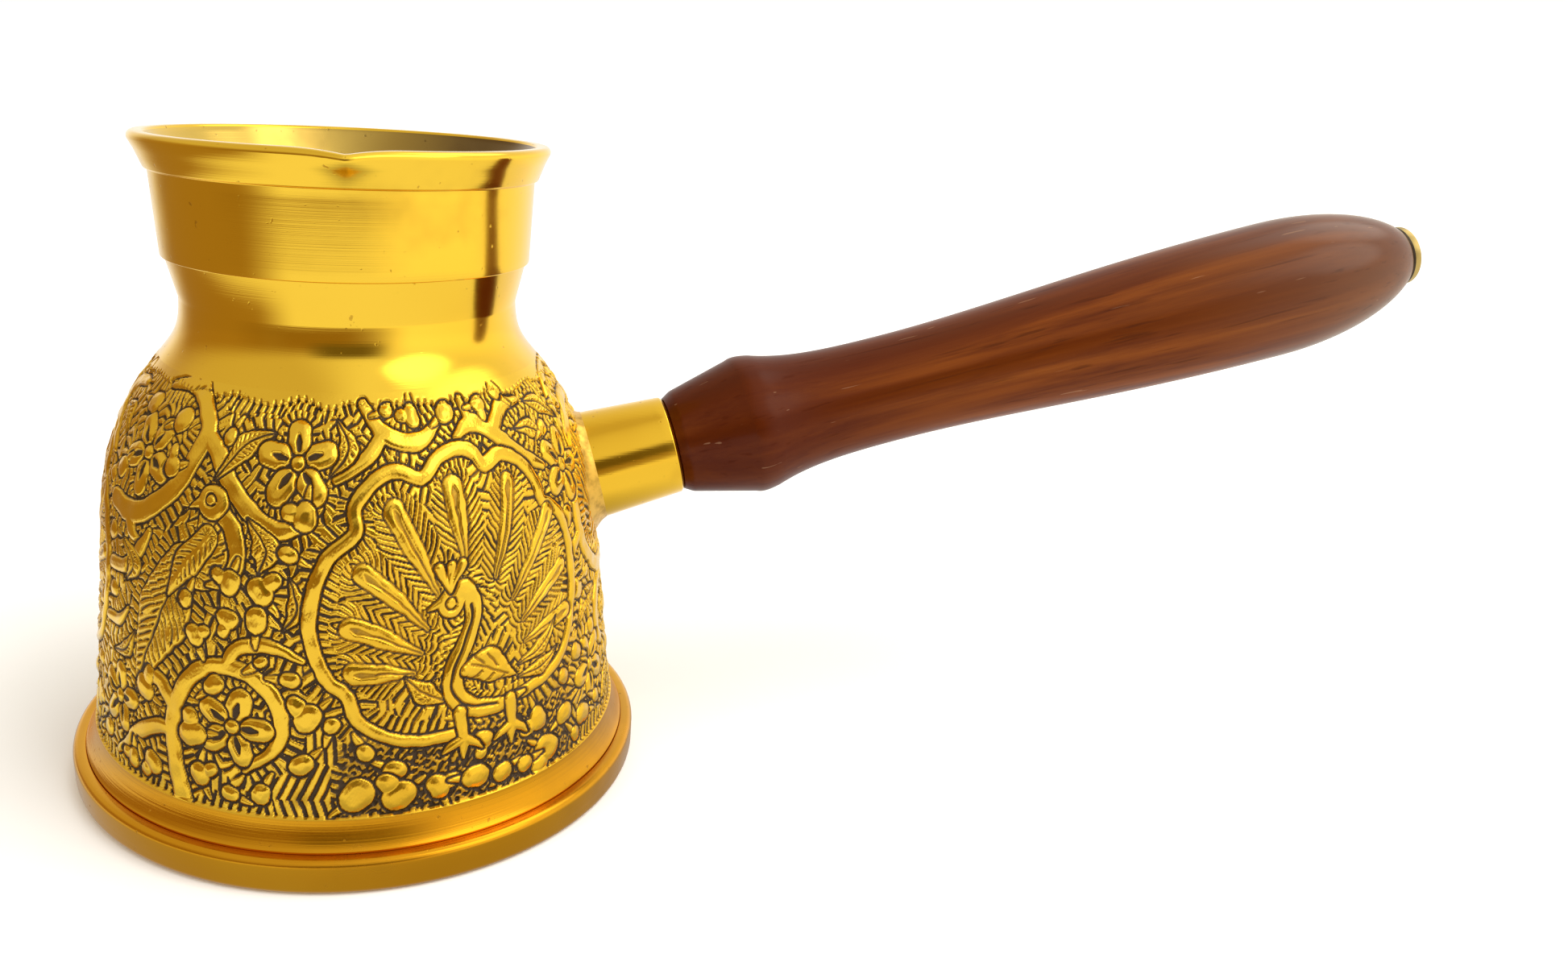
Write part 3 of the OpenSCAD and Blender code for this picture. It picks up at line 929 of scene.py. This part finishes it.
def socketPanel(u):
    # a wreath round the handle's socket
    put = placed(u, 0)
    for side in (1, -1):
        half = placed(u, 0, mirror=side < 0)

        def here(x, y, turn=0):
            return placed(u + side * x, y, turn, side < 0)
        vines(half, ([(1.0, 24.0), (7.4, 24.6), (13.2, 29.2), (15.2, 36.4), (12.6, 44.4), (6.6, 50.2),
                      (0.8, 51.6)], 1.05, 1.0, 1.0),
                    ([(14.8, 33.0), (17.8, 30.6), (19.6, 26.8)], 0.8, 0.7, 0.4),
                    ([(5.0, 24.0), (9.8, 19.6), (9.4, 13.4), (4.6, 10.6)], 0.95, 0.8, 0.6),
                    ([(12.4, 45.0), (12.2, 50.8), (7.2, 55.6), (1.0, 57.2)], 0.9, 0.8, 0.6))
        flower(here(16.8, 43.4, 10), 4.8, 30, 1.6)
        flower(here(14.6, 10.8, 0), 4.6, 64, 1.55)
        leaves(half, ([(12.4, 50.0), (16.6, 53.0), (20.6, 54.0)], 1.6),
               ([(10.4, 22.6), (14.6, 21.4), (18.0, 18.2)], 1.5),
               ([(2.2, 19.4), (5.4, 17.6), (5.8, 14.2)], 1.4),
               ([(3.2, 6.6), (7.8, 5.4), (11.0, 2.2)], 1.5))
        berries(half, (18.6, 36.0, 1.6), (17.2, 24.0, 1.8), (13.4, 25.6, 1.2), (5.4, 46.9, 1.1),
                      (9.0, 51.8, 1.4), (18.6, 49.4, 1.3), (13.0, 16.6, 1.3), (18.8, 14.8, 1.5),
                      (18.2, 4.2, 1.8), (13.2, 5.0, 1.3), (6.2, 9.4, 1.1), (3.6, 54.0, 1.2))
    berries(put, (0, 15.2, 2.0), (0, 8.0, 1.6), (0, 3.4, 1.4))


def crownBranches(u):
    # forks and buds over a medallion, and buds under it
    put = placed(u, 0)
    vines(put, ([(-13.0, 56.6), (-9.4, 52.4), (-4.8, 51.4), (-0.4, 53.6)], 1.1, 0.7, 0.5),
               ([(-9.6, 52.6), (-12.6, 49.6), (-17.4, 46.6)], 0.9, 0.9, 0.5),
               ([(2.4, 51.2), (6.0, 52.8), (9.8, 50.8), (13.8, 47.4), (18.4, 44.6)], 1.1, 0.5, 0.6),
               ([(9.6, 51.0), (13.4, 54.2), (18.4, 54.6)], 1.0, 0.9, 0.5),
               ([(5.8, 52.6), (5.2, 56.6)], 0.9, 0.8, 0.5))
    leaves(put, ([(-17.4, 54.4), (-15.6, 50.6), (-18.2, 47.0)], 1.5),
           ([(14.8, 51.0), (18.6, 50.2), (21.4, 47.2)], 1.4))
    berries(put, (-4.6, 55.0, 1.5), (1.6, 54.8, 1.6), (8.8, 55.4, 1.4), (14.0, 56.6, 1.3),
                 (-20.6, 43.6, 1.5), (20.8, 41.4, 1.3), (-9.0, 56.0, 1.1))
    berries(put, (-10.8, 6.6, 1.5), (-14.6, 9.4, 1.2), (-10.2, 2.6, 2.1), (-15.8, 3.2, 2.4),
                 (-5.2, 3.0, 1.7), (1.8, 8.4, 1.5), (0.2, 3.2, 1.9), (4.6, 2.4, 1.5), (11.4, 8.4, 1.8),
                 (12.8, 3.2, 2.2), (8.6, 2.2, 1.3), (17.4, 6.6, 1.7), (17.8, 12.4, 1.3), (19.8, 2.2, 1.3),
                 (-18.6, 13.4, 1.1))


firstSpot, medallionHeight = -44.0, 28.8   # the medallion in front, and the height of their middles
medallionSpots = [firstSpot, firstSpot - unit, firstSpot + unit]
for spot in medallionSpots:
    crownBranches(spot)
birdPanel(firstSpot - unit / 2)
birdPanel(firstSpot + 1.5 * unit, mirror=True)
socketPanel(-3.2)
for number, spot in enumerate(medallionSpots):
    medallion(spot, medallionHeight, mirror=number == 2)
print("ornament drawn")


def finishRelief():
    s = engraving
    u, v = np.meshgrid(relief.u, relief.v)
    rough = smoothNoise(u, v, 5, 1.0, 2)
    fine = seed.uniform(-1, 1, u.shape)
    # the plain shoulder and the plain foot are raised shapes too
    edge = s["topEdge"] + smoothNoise(u, v * 0, 9, 0.5)
    above, below = edge - v, v - 0.25
    for d in (above, below):
        closer = (d < relief.gap) & ~relief.raised
        relief.gap = np.where(closer, d, relief.gap)
        relief.run = np.where(closer, u, relief.run)
        relief.slant = np.where(closer, 0.3 * np.sign(smoothNoise(u, v * 0, 24, 1.0)), relief.slant)
        relief.pitch = np.where(closer, roundLength / round(roundLength / 1.35), relief.pitch)
    plain = (above < 0) | (below < 0)
    # hatching: uneven cuts that start at the nearest shape
    slanted = relief.run + relief.slant * np.maximum(relief.gap, 0)
    phase = slanted / relief.pitch + rough * 0.03 + relief.shapeSeed
    number = np.floor(phase)
    luck = np.modf(np.abs(np.sin(number * 12.9898 + np.floor(relief.shapeSeed) * 4.1)) * 43758.5453)[0]
    inLine = np.abs((phase % 1) - 0.5)
    # cuts that run up past the edge of the plain shoulder
    teeth = 1 - smoothStep(-above, 0.1 + 0.3 * luck, 0.4 + 0.5 * luck)
    teeth *= 1 - smoothStep(inLine, 0.08, 0.26)
    # punched ground under the medallions, and finer work inside them
    dots = smoothNoise(u, v, 0.95, 1.0) + smoothNoise(u, v, 1.2, 0.6)
    under, within = np.zeros(u.shape), np.zeros(u.shape)
    for spot in medallionSpots:
        side = (u - spot + roundLength / 2) % roundLength - roundLength / 2
        under = np.maximum(under, smoothStep(20 - np.abs(side), 0, 5) * smoothStep(12.0 - v, 0, 2.5))
        within = np.maximum(within, smoothStep(1.0 - np.hypot(side / 21, (v - 29.5) / 19.5), 0, 0.12))
    within = within * (1 - under)
    width = 0.165 + 0.06 * luck + 0.02 * fine - 0.02 * within
    hatch = (1 - smoothStep(inLine, width - 0.08, width + 0.08)) * (0.78 + 0.22 * luck)
    hatch = hatch * (1 - under) + under * smoothStep(dots, -0.25, 0.35)
    outside = ~relief.raised & ~plain
    ground = s["ground"] * (1 - 0.25 * within) + s["hatch"] * hatch
    cut = np.maximum(relief.cut, np.where(plain & (above < 0), teeth * 0.6, 0))
    raisedDepth = np.where(plain, 0.0, -relief.top) + cut * 0.36
    depth = np.where(outside, np.maximum(ground, cut * s["outlineDepth"]), raisedDepth)
    depth = depth + (0.065 * (1 + smoothNoise(u, v, 4, 1.0)) + 0.010 * (1 + fine)) * ~plain
    patina = np.where(outside, np.maximum(hatch, cut * 0.95) + 0.03 + 0.08 * rough, cut)
    patina = patina * (1 - 0.10 * within) + under * outside * 0.25
    darker = 1 + 0.45 * smoothStep(14 - v, 0, 12)
    ends = smoothStep(v, 0, 0.2) * smoothStep(skin["height"] - v, 0.0, 0.3)
    return depth * ends, np.clip(patina * darker, 0, 1) * ends


depthMap, patinaMap = finishRelief()


def skinPanels():
    s = engraving
    angle = np.append(relief.u, relief.u[-1] + relief.du) / s["refRadius"]
    depth = np.c_[depthMap, depthMap[:, :1]]
    patina = np.c_[patinaMap, patinaMap[:, :1]]
    line = wallAt(relief.v[:, None] + 0 * depth, depth)
    place = np.stack([line[..., 0] * np.cos(angle), line[..., 0] * np.sin(angle), line[..., 1]], -1)
    closed = np.concatenate([place[:, -2:-1], place, place[:, 1:2]], 1)
    across = closed[:, 2:] - closed[:, :-2]
    upwards = np.gradient(place, axis=0)
    normals = np.cross(across, upwards)
    normals /= np.linalg.norm(normals, axis=-1, keepdims=True)
    backColumns, backRows = 28, 20
    pieces = []
    for panel in range(s["panels"]):
        first = panel * s["columns"]
        cut = slice(first, first + s["columns"] + 1)
        front = place[:, cut].reshape(-1, 3) * mm
        rows, columns = s["rows"], s["columns"] + 1
        index = np.arange(rows * columns).reshape(rows, columns)
        faces = np.stack([index[:-1, :-1], index[:-1, 1:], index[1:, 1:], index[1:, :-1]], -1)
        faces = faces.reshape(-1, 4).tolist()
        pickRow = np.round(np.linspace(0, rows - 1, backRows)).astype(int)
        pickColumn = np.round(np.linspace(0, columns - 1, backColumns)).astype(int)
        backLine = wallAt(relief.v[pickRow], np.full(backRows, skin["thick"]))
        backAngle = angle[first + pickColumn]
        back = np.stack([backLine[:, :1] * np.cos(backAngle), backLine[:, :1] * np.sin(backAngle),
                         backLine[:, 1:] + 0 * backAngle], -1).reshape(-1, 3) * mm
        behind = np.arange(backRows * backColumns).reshape(backRows, backColumns) + len(front)
        inward = np.stack([behind[:-1, :-1], behind[1:, :-1], behind[1:, 1:], behind[:-1, 1:]], -1)
        faces += inward.reshape(-1, 4).tolist()
        # the four edges, one many-sided face for each coarse step
        for i in range(backColumns - 1):
            a, b = pickColumn[i], pickColumn[i + 1]
            faces.append(index[0, a:b + 1][::-1].tolist() + behind[0, i:i + 2].tolist())
            faces.append(index[-1, a:b + 1].tolist() + behind[-1, i:i + 2][::-1].tolist())
        for i in range(backRows - 1):
            a, b = pickRow[i], pickRow[i + 1]
            faces.append(index[a:b + 1, 0].tolist() + behind[i:i + 2, 0][::-1].tolist())
            faces.append(index[a:b + 1, -1][::-1].tolist() + behind[i:i + 2, -1].tolist())
        name = "engraved_panel_" + "abcdef"[panel]
        piece = meshObject(name, np.vstack([front, back]).tolist(), faces, finish["chased"])
        values = np.r_[patina[:, cut].ravel(), np.zeros(len(back))].astype(np.float32)
        piece.data.attributes.new("patina", "FLOAT", "POINT").data.foreach_set("value", values)
        backNormals = np.stack([-np.cos(backAngle), -np.sin(backAngle), 0 * backAngle], -1)
        allNormals = np.vstack([normals[:, cut].reshape(-1, 3), np.tile(backNormals, (backRows, 1))])
        piece.data.normals_split_custom_set_from_vertices(allNormals.tolist())
        pieces.append(piece)
    return pieces


for panel in skinPanels():
    settle(panel, "engraved_brass")


# base plate, solder

base = {"ringTop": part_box("base_plate")[1].z / mm, "lowRound": 1.2, "topRound": 1.1, "sideGap": 0.03,
        "floorGap": 0.02}


def basePlateOutline():
    r, top, low, high = footRadius, base["ringTop"], base["lowRound"], base["topRound"]
    side, floorTop = pot["seat"] + base["sideGap"], floorThick - base["floorGap"]
    outer = np.vstack([arc((r - low, low), low, -90, 0, 6), arc((r - high, top - high), high, 0, 78, 7)])
    inner = rounded([outer[-1], (side, top - 0.05), (side, floorTop), (0, floorTop)], 0.15)[1:]
    rings = [(x, 0) for x in (0, 10, 20, 30, 38)]
    floor = [(x, floorTop) for x in (30, 15)]
    return np.vstack([rings, outer, inner[:-1], floor, inner[-1:]])


basePlate = turnPiece("foot_plate", basePlateOutline(), finish["foot"], columns=240, sharp=35)
settle(basePlate, "polished_brass", "base_plate")

coveRadius = 1.2
cove = arc((cornerRadius - coveRadius, floorThick + coveRadius), coveRadius, -90, 0, 6)
coveLine = np.vstack([cove, [(cornerRadius, floorThick)], cove[:1]])
settle(turnPiece("solder_cove", coveLine, finish["solder"], 144), "solder", "base_solder_fillet")


# handle: socket, braze, grip, rod, washer, nut; heights here run along the handle's axis

socket = {"start": 35.6, "bevel": 0.55, "tenon": 4.6, "tenonDepth": 8.4, "clear": 0.05}
rodStart = handle["socketEnd"] - 12.2
slope = (handle["socketRoot"] - handle["socket"]) / (handle["socketEnd"] - 36)


def socketOutline():
    end, r = handle["socketEnd"], handle["socket"]
    start, deep = socket["start"], handle["socketEnd"] - socket["tenonDepth"]
    wide = r + slope * (end - start)
    rodHole, seat = handle["rod"] + socket["clear"], socket["tenon"] + socket["clear"]
    bottom = rodStart - 0.4
    corner = rounded([(wide, start), (r + 0.02, end - socket["bevel"]), (r - socket["bevel"], end),
                      (seat, end)], 0.12)
    side = [corner[0] + (corner[1] - corner[0]) * t for t in np.linspace(0, 1, 12)[:-1]]
    return np.vstack([[(0, start)], side, corner[1:],
                      [(seat, deep), (rodHole, deep), (rodHole, bottom), (0, bottom)]])


socketPiece = turnPiece("socket_boss", socketOutline(), finish["turned"], 128, onHandle, 30)
settle(socketPiece, "polished_brass", "handle_socket")

beadSizes = {"low": 35.4, "high": 38.0, "wide": 1.9}
rootRadius = handle["socket"] + slope * (handle["socketEnd"] - 37)
beadCurve = cubic((rootRadius + beadSizes["wide"], beadSizes["low"]), (rootRadius + 1.0, 36.4),
                  (rootRadius + 0.25, 37.0), (rootRadius - 0.02, beadSizes["high"]), 8)
bead = turnPiece("braze_bead", np.vstack([beadCurve, [(rootRadius - 0.4, beadSizes["low"])], beadCurve[:1]]),
                 finish["braze"], 128, onHandle)
settle(bead, "braze", "socket_braze_fillet")

grip = {"radius": 11.1, "waist": 8.6, "collarRadius": 11.25, "collarAt": 12.5, "domeLong": 25.5,
        "domeKept": 22.3, "tenon": 4.6, "tenonLong": 8.0, "bore": 2.8, "nutBore": 3.4, "nutDeep": 8.0}
gripEnd = handle["socketEnd"] + handle["gripLength"]
bulgeAt = gripEnd - grip["domeKept"]
gripEndRadius = grip["radius"] * math.sqrt(1 - (grip["domeKept"] / grip["domeLong"]) ** 2)


def gripOutline():
    start = handle["socketEnd"] + 0.03
    tenonEnd, collar = start - grip["tenonLong"], start + grip["collarAt"]
    r, w, c, bore, nutBore = (grip[key] for key in ("radius", "waist", "collarRadius", "bore", "nutBore"))
    cone = [(handle["socket"] - 0.35, start), (handle["socket"] + 0.5, start + 1.4), (c - 0.5, collar - 1.3)]
    waistAt = start + 0.29 * handle["gripLength"]
    nutStop = gripEnd - grip["nutDeep"]
    dome = [(r * math.sqrt(1 - (s / grip["domeLong"]) ** 2), bulgeAt + s)
            for s in grip["domeKept"] * np.sin(np.radians(np.linspace(5, 89, 22)))]
    return np.vstack([
        [(bore, tenonEnd), (grip["tenon"], tenonEnd), (grip["tenon"], start)],
        rounded(cone, 0.35, 5)[:-1],
        cubic(cone[2], (c - 0.1, collar - 0.4), (c - 0.1, collar + 0.5), (c - 0.5, collar + 2.4), 9),
        cubic((c - 0.5, collar + 2.4), (w + 0.35, collar + 8), (w, waistAt - 10), (w, waistAt), 20)[1:],
        cubic((w, waistAt), (w, waistAt + 19), (r, bulgeAt - 30), (r, bulgeAt), 36)[1:],
        dome, [(gripEndRadius - 0.05, gripEnd), (nutBore, gripEnd), (nutBore, nutStop), (bore, nutStop),
               (bore, tenonEnd)]])


gripPiece = turnPiece("turned_grip", gripOutline(), finish["wood"], 128, onHandle, 50)
settle(gripPiece, "varnished_wood", "wooden_grip")

washerSizes = {"radius": 5.05, "thick": 0.8, "hole": 3.4}
washerTop = gripEnd + washerSizes["thick"]
washerLine = rounded([(washerSizes["hole"], gripEnd), (washerSizes["radius"], gripEnd),
                      (washerSizes["radius"], washerTop), (washerSizes["hole"], washerTop)], 0.15)
washer = turnPiece("nut_washer", np.vstack([washerLine, washerLine[:1]]), finish["washer"], 72, onHandle)
settle(washer, "dark_washer", "end_washer")

nutSizes = {"radius": 4.8, "rim": 1.1, "dome": 0.9, "hole": 2.55, "sleeve": 3.3, "sleeveLong": 8.0}
nutStart = washerTop + 0.01


def nutOutline():
    r, rim, dome = nutSizes["radius"], nutSizes["rim"], nutSizes["dome"]
    ball = (r * r + dome * dome) / (2 * dome)
    span = math.degrees(math.asin(r / ball))
    cap = arc((0, nutStart + rim + dome - ball), ball, 90 - span, 90, 14)
    low, hole, holeTop = nutStart - nutSizes["sleeveLong"], nutSizes["hole"], nutStart - 0.2
    sleeve = [(hole, low), (nutSizes["sleeve"], low), (nutSizes["sleeve"], nutStart)]
    head = rounded([(nutSizes["sleeve"], nutStart), (r, nutStart), cap[0], cap[2]], 0.12)
    return np.vstack([sleeve, head[1:-1], cap[2:], [(0, holeTop), (hole, holeTop), (hole, low)]])


nut = turnPiece("cap_nut", nutOutline(), finish["aged"], 72, onHandle)
settle(nut, "aged_brass", "end_cap_nut")


# tie rod: a plain core, and its two threads run on by a node tree

thread = {"pitch": 0.8, "core": 2.1, "crest": 2.48, "long": 8.0}
rodEnd = nutStart - 0.4


def threadTree():
    tree, ids, (turns, radius, length, ridge, start, material) = newTree("cutThread", {
        "Turns": ("Float", 10.0), "Radius": ("Float", 0.002), "Length": ("Float", 0.008),
        "Ridge": ("Float", 0.0003), "Start": ("Float", 0.0), "Material": ("Material", None)})
    helix = turns.node("GeometryNodeCurveSpiral", {}, {
        "Resolution": 24, "Rotations": turns, "Start Radius": radius, "End Radius": radius, "Height": length})
    circle = {"Resolution": 4, "Radius": ridge}
    section = turns.node("GeometryNodeCurvePrimitiveCircle", {"mode": "RADIUS"}, circle)
    sweep = {"Curve": helix, "Profile Curve": section, "Fill Caps": True}
    shape = turns.node("GeometryNodeCurveToMesh", {}, sweep)
    offset = turns.node("ShaderNodeCombineXYZ", {}, {"Z": start})
    shape = turns.node("GeometryNodeTransform", {}, {"Geometry": shape, "Translation": offset})
    endTree(tree, shape, material)
    return tree, ids


threadGroup, threadIds = threadTree()


def runThread(name, start, long):
    values = {"Turns": long / thread["pitch"], "Radius": thread["core"] * mm, "Length": long * mm,
              "Ridge": (thread["crest"] - thread["core"]) * mm, "Start": start * mm,
              "Material": finish["steel"]}
    piece = madeByTree(name, bpy.data.meshes.new(name), threadGroup, threadIds, values)
    piece.data.transform(onHandle)
    return piece


core, full = thread["core"], thread["crest"]
rodLine = [(0, rodStart), (core - 0.3, rodStart), (core, rodStart + 0.3), (core, rodStart + thread["long"]),
           (full, rodStart + thread["long"] + 0.4), (full, rodEnd - thread["long"] - 0.4),
           (core, rodEnd - thread["long"]), (core, rodEnd - 0.3), (core - 0.3, rodEnd), (0, rodEnd)]
rod = turnPiece("tie_rod_shank", rodLine, finish["steel"], 48, onHandle)
settle(rod, "rod_steel", "tie_rod")
threadStarts = {"rod_thread_inner": rodStart + 0.4, "rod_thread_outer": rodEnd - thread["long"] - 0.2}
for name, start in threadStarts.items():
    settle(runThread(name, start, thread["long"] - 0.6), "rod_steel")


# camera, floor and light

view = {"place": (14.1, -182.2, 104.6), "ahead": (0.1664, 0.9217, -0.3504), "up": (0.0061, 0.3544, 0.9351),
        "lens": 27.57, "shift": (0.0834, 0.0305)}


def makeCamera():
    data = bpy.data.cameras.new("camera")
    camera = bpy.data.objects.new("camera", data)
    bpy.context.scene.collection.objects.link(camera)
    ahead = Vector(view["ahead"]).normalized()
    right = ahead.cross(Vector(view["up"])).normalized()
    up = right.cross(ahead)
    turn = Matrix((right, up, -ahead)).transposed().to_4x4()
    camera.matrix_world = Matrix.Translation(Vector(view["place"]) * mm) @ turn
    data.sensor_width = 36
    data.lens = view["lens"]
    data.shift_x, data.shift_y = view["shift"]
    data.clip_start, data.clip_end = 0.01, 20
    bpy.context.scene.camera = camera


# what polished metal sees of the room: dim and warm on the left, pale on the right, dark in front,
# bright above, and two windows
room = {"pale": (1.12, 1.10, 1.06, 1), "warm": (0.42, 0.27, 0.10, 1), "dark": (0.17, 0.13, 0.06, 1),
        "ceiling": (1.02, 1.0, 0.95, 1), "shade": (0.70, 0.62, 0.48, 1), "side": (1.35, 1.28, 1.12, 1),
        "front": (0.33, 0.20, 0.055, 1), "window": (2.8, 2.7, 2.5, 1),
        "windowWay": (0.55, 0.20, 0.81), "nearWay": (0.60, -0.47, 0.65)}


def roomGlow(way, far=1.0, beside=1.0, right=1.0):
    # a bright window side on the right, a brown one on the left, and a low dark bar in front
    x, y, z = (way.part(number) for number in range(3))
    flat = (x * x + y * y + 1e-6).maths("SQRT")
    left = (x * -1.0).maths("DIVIDE", flat).between(0.50, 0.88)
    front = (x * -0.34 + y * -0.94).maths("DIVIDE", flat).between(0.45, 0.98)
    bar = (y * -1.0).maths("DIVIDE", flat).between(0.86, 0.995) * z.between(0.05, 0.15)
    colour = (left * beside).blend(room["pale"], room["warm"])
    colour = (x.maths("DIVIDE", flat).between(0.1, 0.7) * right).blend(colour, room["side"])
    colour = (front * far).blend(colour, room["front"])
    ceiling = x.maths("DIVIDE", flat).between(-0.7, 0.3).blend(room["shade"], room["ceiling"])
    colour = z.between(0.10, 0.55).blend(colour, ceiling)
    return (bar * z.between(0.36, 0.50, 1.0, 0.0)).blend(colour, room["dark"]), flat


def makeFloor():
    made, shader, start = newMaterial("paleFloor", {"Roughness": 0.5, "Specular IOR Level": 0.3})
    place = objectCoordinates(start)
    soft = place.noise(3, 2, 0.5)
    connect(shader, colour=soft.between(0.3, 0.7).blend((0.90, 0.905, 0.91, 1), (0.93, 0.932, 0.935, 1)))
    shader.inputs["Emission Strength"].default_value = 1.0
    # the floor glows faintly away from the pot so that it reads evenly white; glossy rays see a painted
    # reflection instead: a pale floor round the pot, dimmed by a painted contact shade at its foot, and the
    # room's colours further out
    flat = roomGlow(place)[1]
    lift = flat.between(0.15, 0.50).blend((0, 0, 0, 1), (0.32, 0.32, 0.32, 1))
    start.tree.links.new(lift.socket, shader.inputs["Emission Color"])
    glow = roomGlow(place, flat.between(0.30, 0.60), flat.between(0.10, 0.17), flat.between(0.19, 0.32))[0]
    # painted contact shade: the floor seen in reflections is dimmer within about 85 mm of the pot's axis
    contactShade = flat.between(0.044, 0.085)
    paintedReflection = start.node("ShaderNodeEmission", {}, {"Color": glow, "Strength": contactShade * 0.45 + 0.5})
    glossy = start.node("ShaderNodeLightPath", out="Is Glossy Ray")
    both = start.node("ShaderNodeMixShader", {}, {0: glossy, 1: Wire(start.tree, shader.outputs[0]), 2: paintedReflection})
    output = start.tree.nodes["Material Output"]
    start.tree.links.new(both.socket, output.inputs[0])
    size = 3.0
    floor = meshObject("floor", [(-size, -size, 0), (size, -size, 0), (size, size, 0), (-size, size, 0)],
                       [(0, 1, 2, 3)], made)


def areaLight(name, place, target, size, power, colour=(1, 1, 1)):
    data = bpy.data.lights.new(name, "AREA")
    data.shape = "RECTANGLE"
    data.size, data.size_y = size
    data.energy = power
    data.color = colour
    lamp = bpy.data.objects.new(name, data)
    bpy.context.scene.collection.objects.link(lamp)
    lamp.location = place
    lamp.rotation_euler = (Vector(target) - Vector(place)).to_track_quat("-Z", "Y").to_euler()
    lamp.visible_glossy = False


def makeWorld():
    world = bpy.data.worlds.new("studio")
    bpy.context.scene.world = world
    world.use_nodes = True
    tree = world.node_tree
    tree.nodes.clear()
    start = Wire(tree)
    way = start.node("ShaderNodeTexCoord", out=0)
    colour = roomGlow(way)[0]
    for direction in ("windowWay", "nearWay"):
        towards = way.node("ShaderNodeVectorMath", {"operation": "DOT_PRODUCT"},
                           {0: way, 1: room[direction]}, out=1)
        colour = towards.between(0.92, 0.98).blend(colour, room["window"])
    colour = start.node("ShaderNodeLightPath", out="Is Camera Ray").blend(colour, (1.02, 1.02, 1.02, 1))
    shade = start.node("ShaderNodeBackground", {}, {"Color": colour, "Strength": 1.0})
    output = tree.nodes.new("ShaderNodeOutputWorld")
    tree.links.new(shade.socket, output.inputs[0])


makeCamera()
makeFloor()
makeWorld()
areaLight("keyLight", (0.45, -0.25, 0.80), (0, 0, 0.05), (0.55, 0.55), 4.5)
areaLight("fillLight", (-0.6, -0.35, 0.45), (0, 0, 0.05), (0.45, 0.6), 1.5)
bpy.context.scene.view_settings.view_transform = "Standard"
print("camera, floor and lights made")
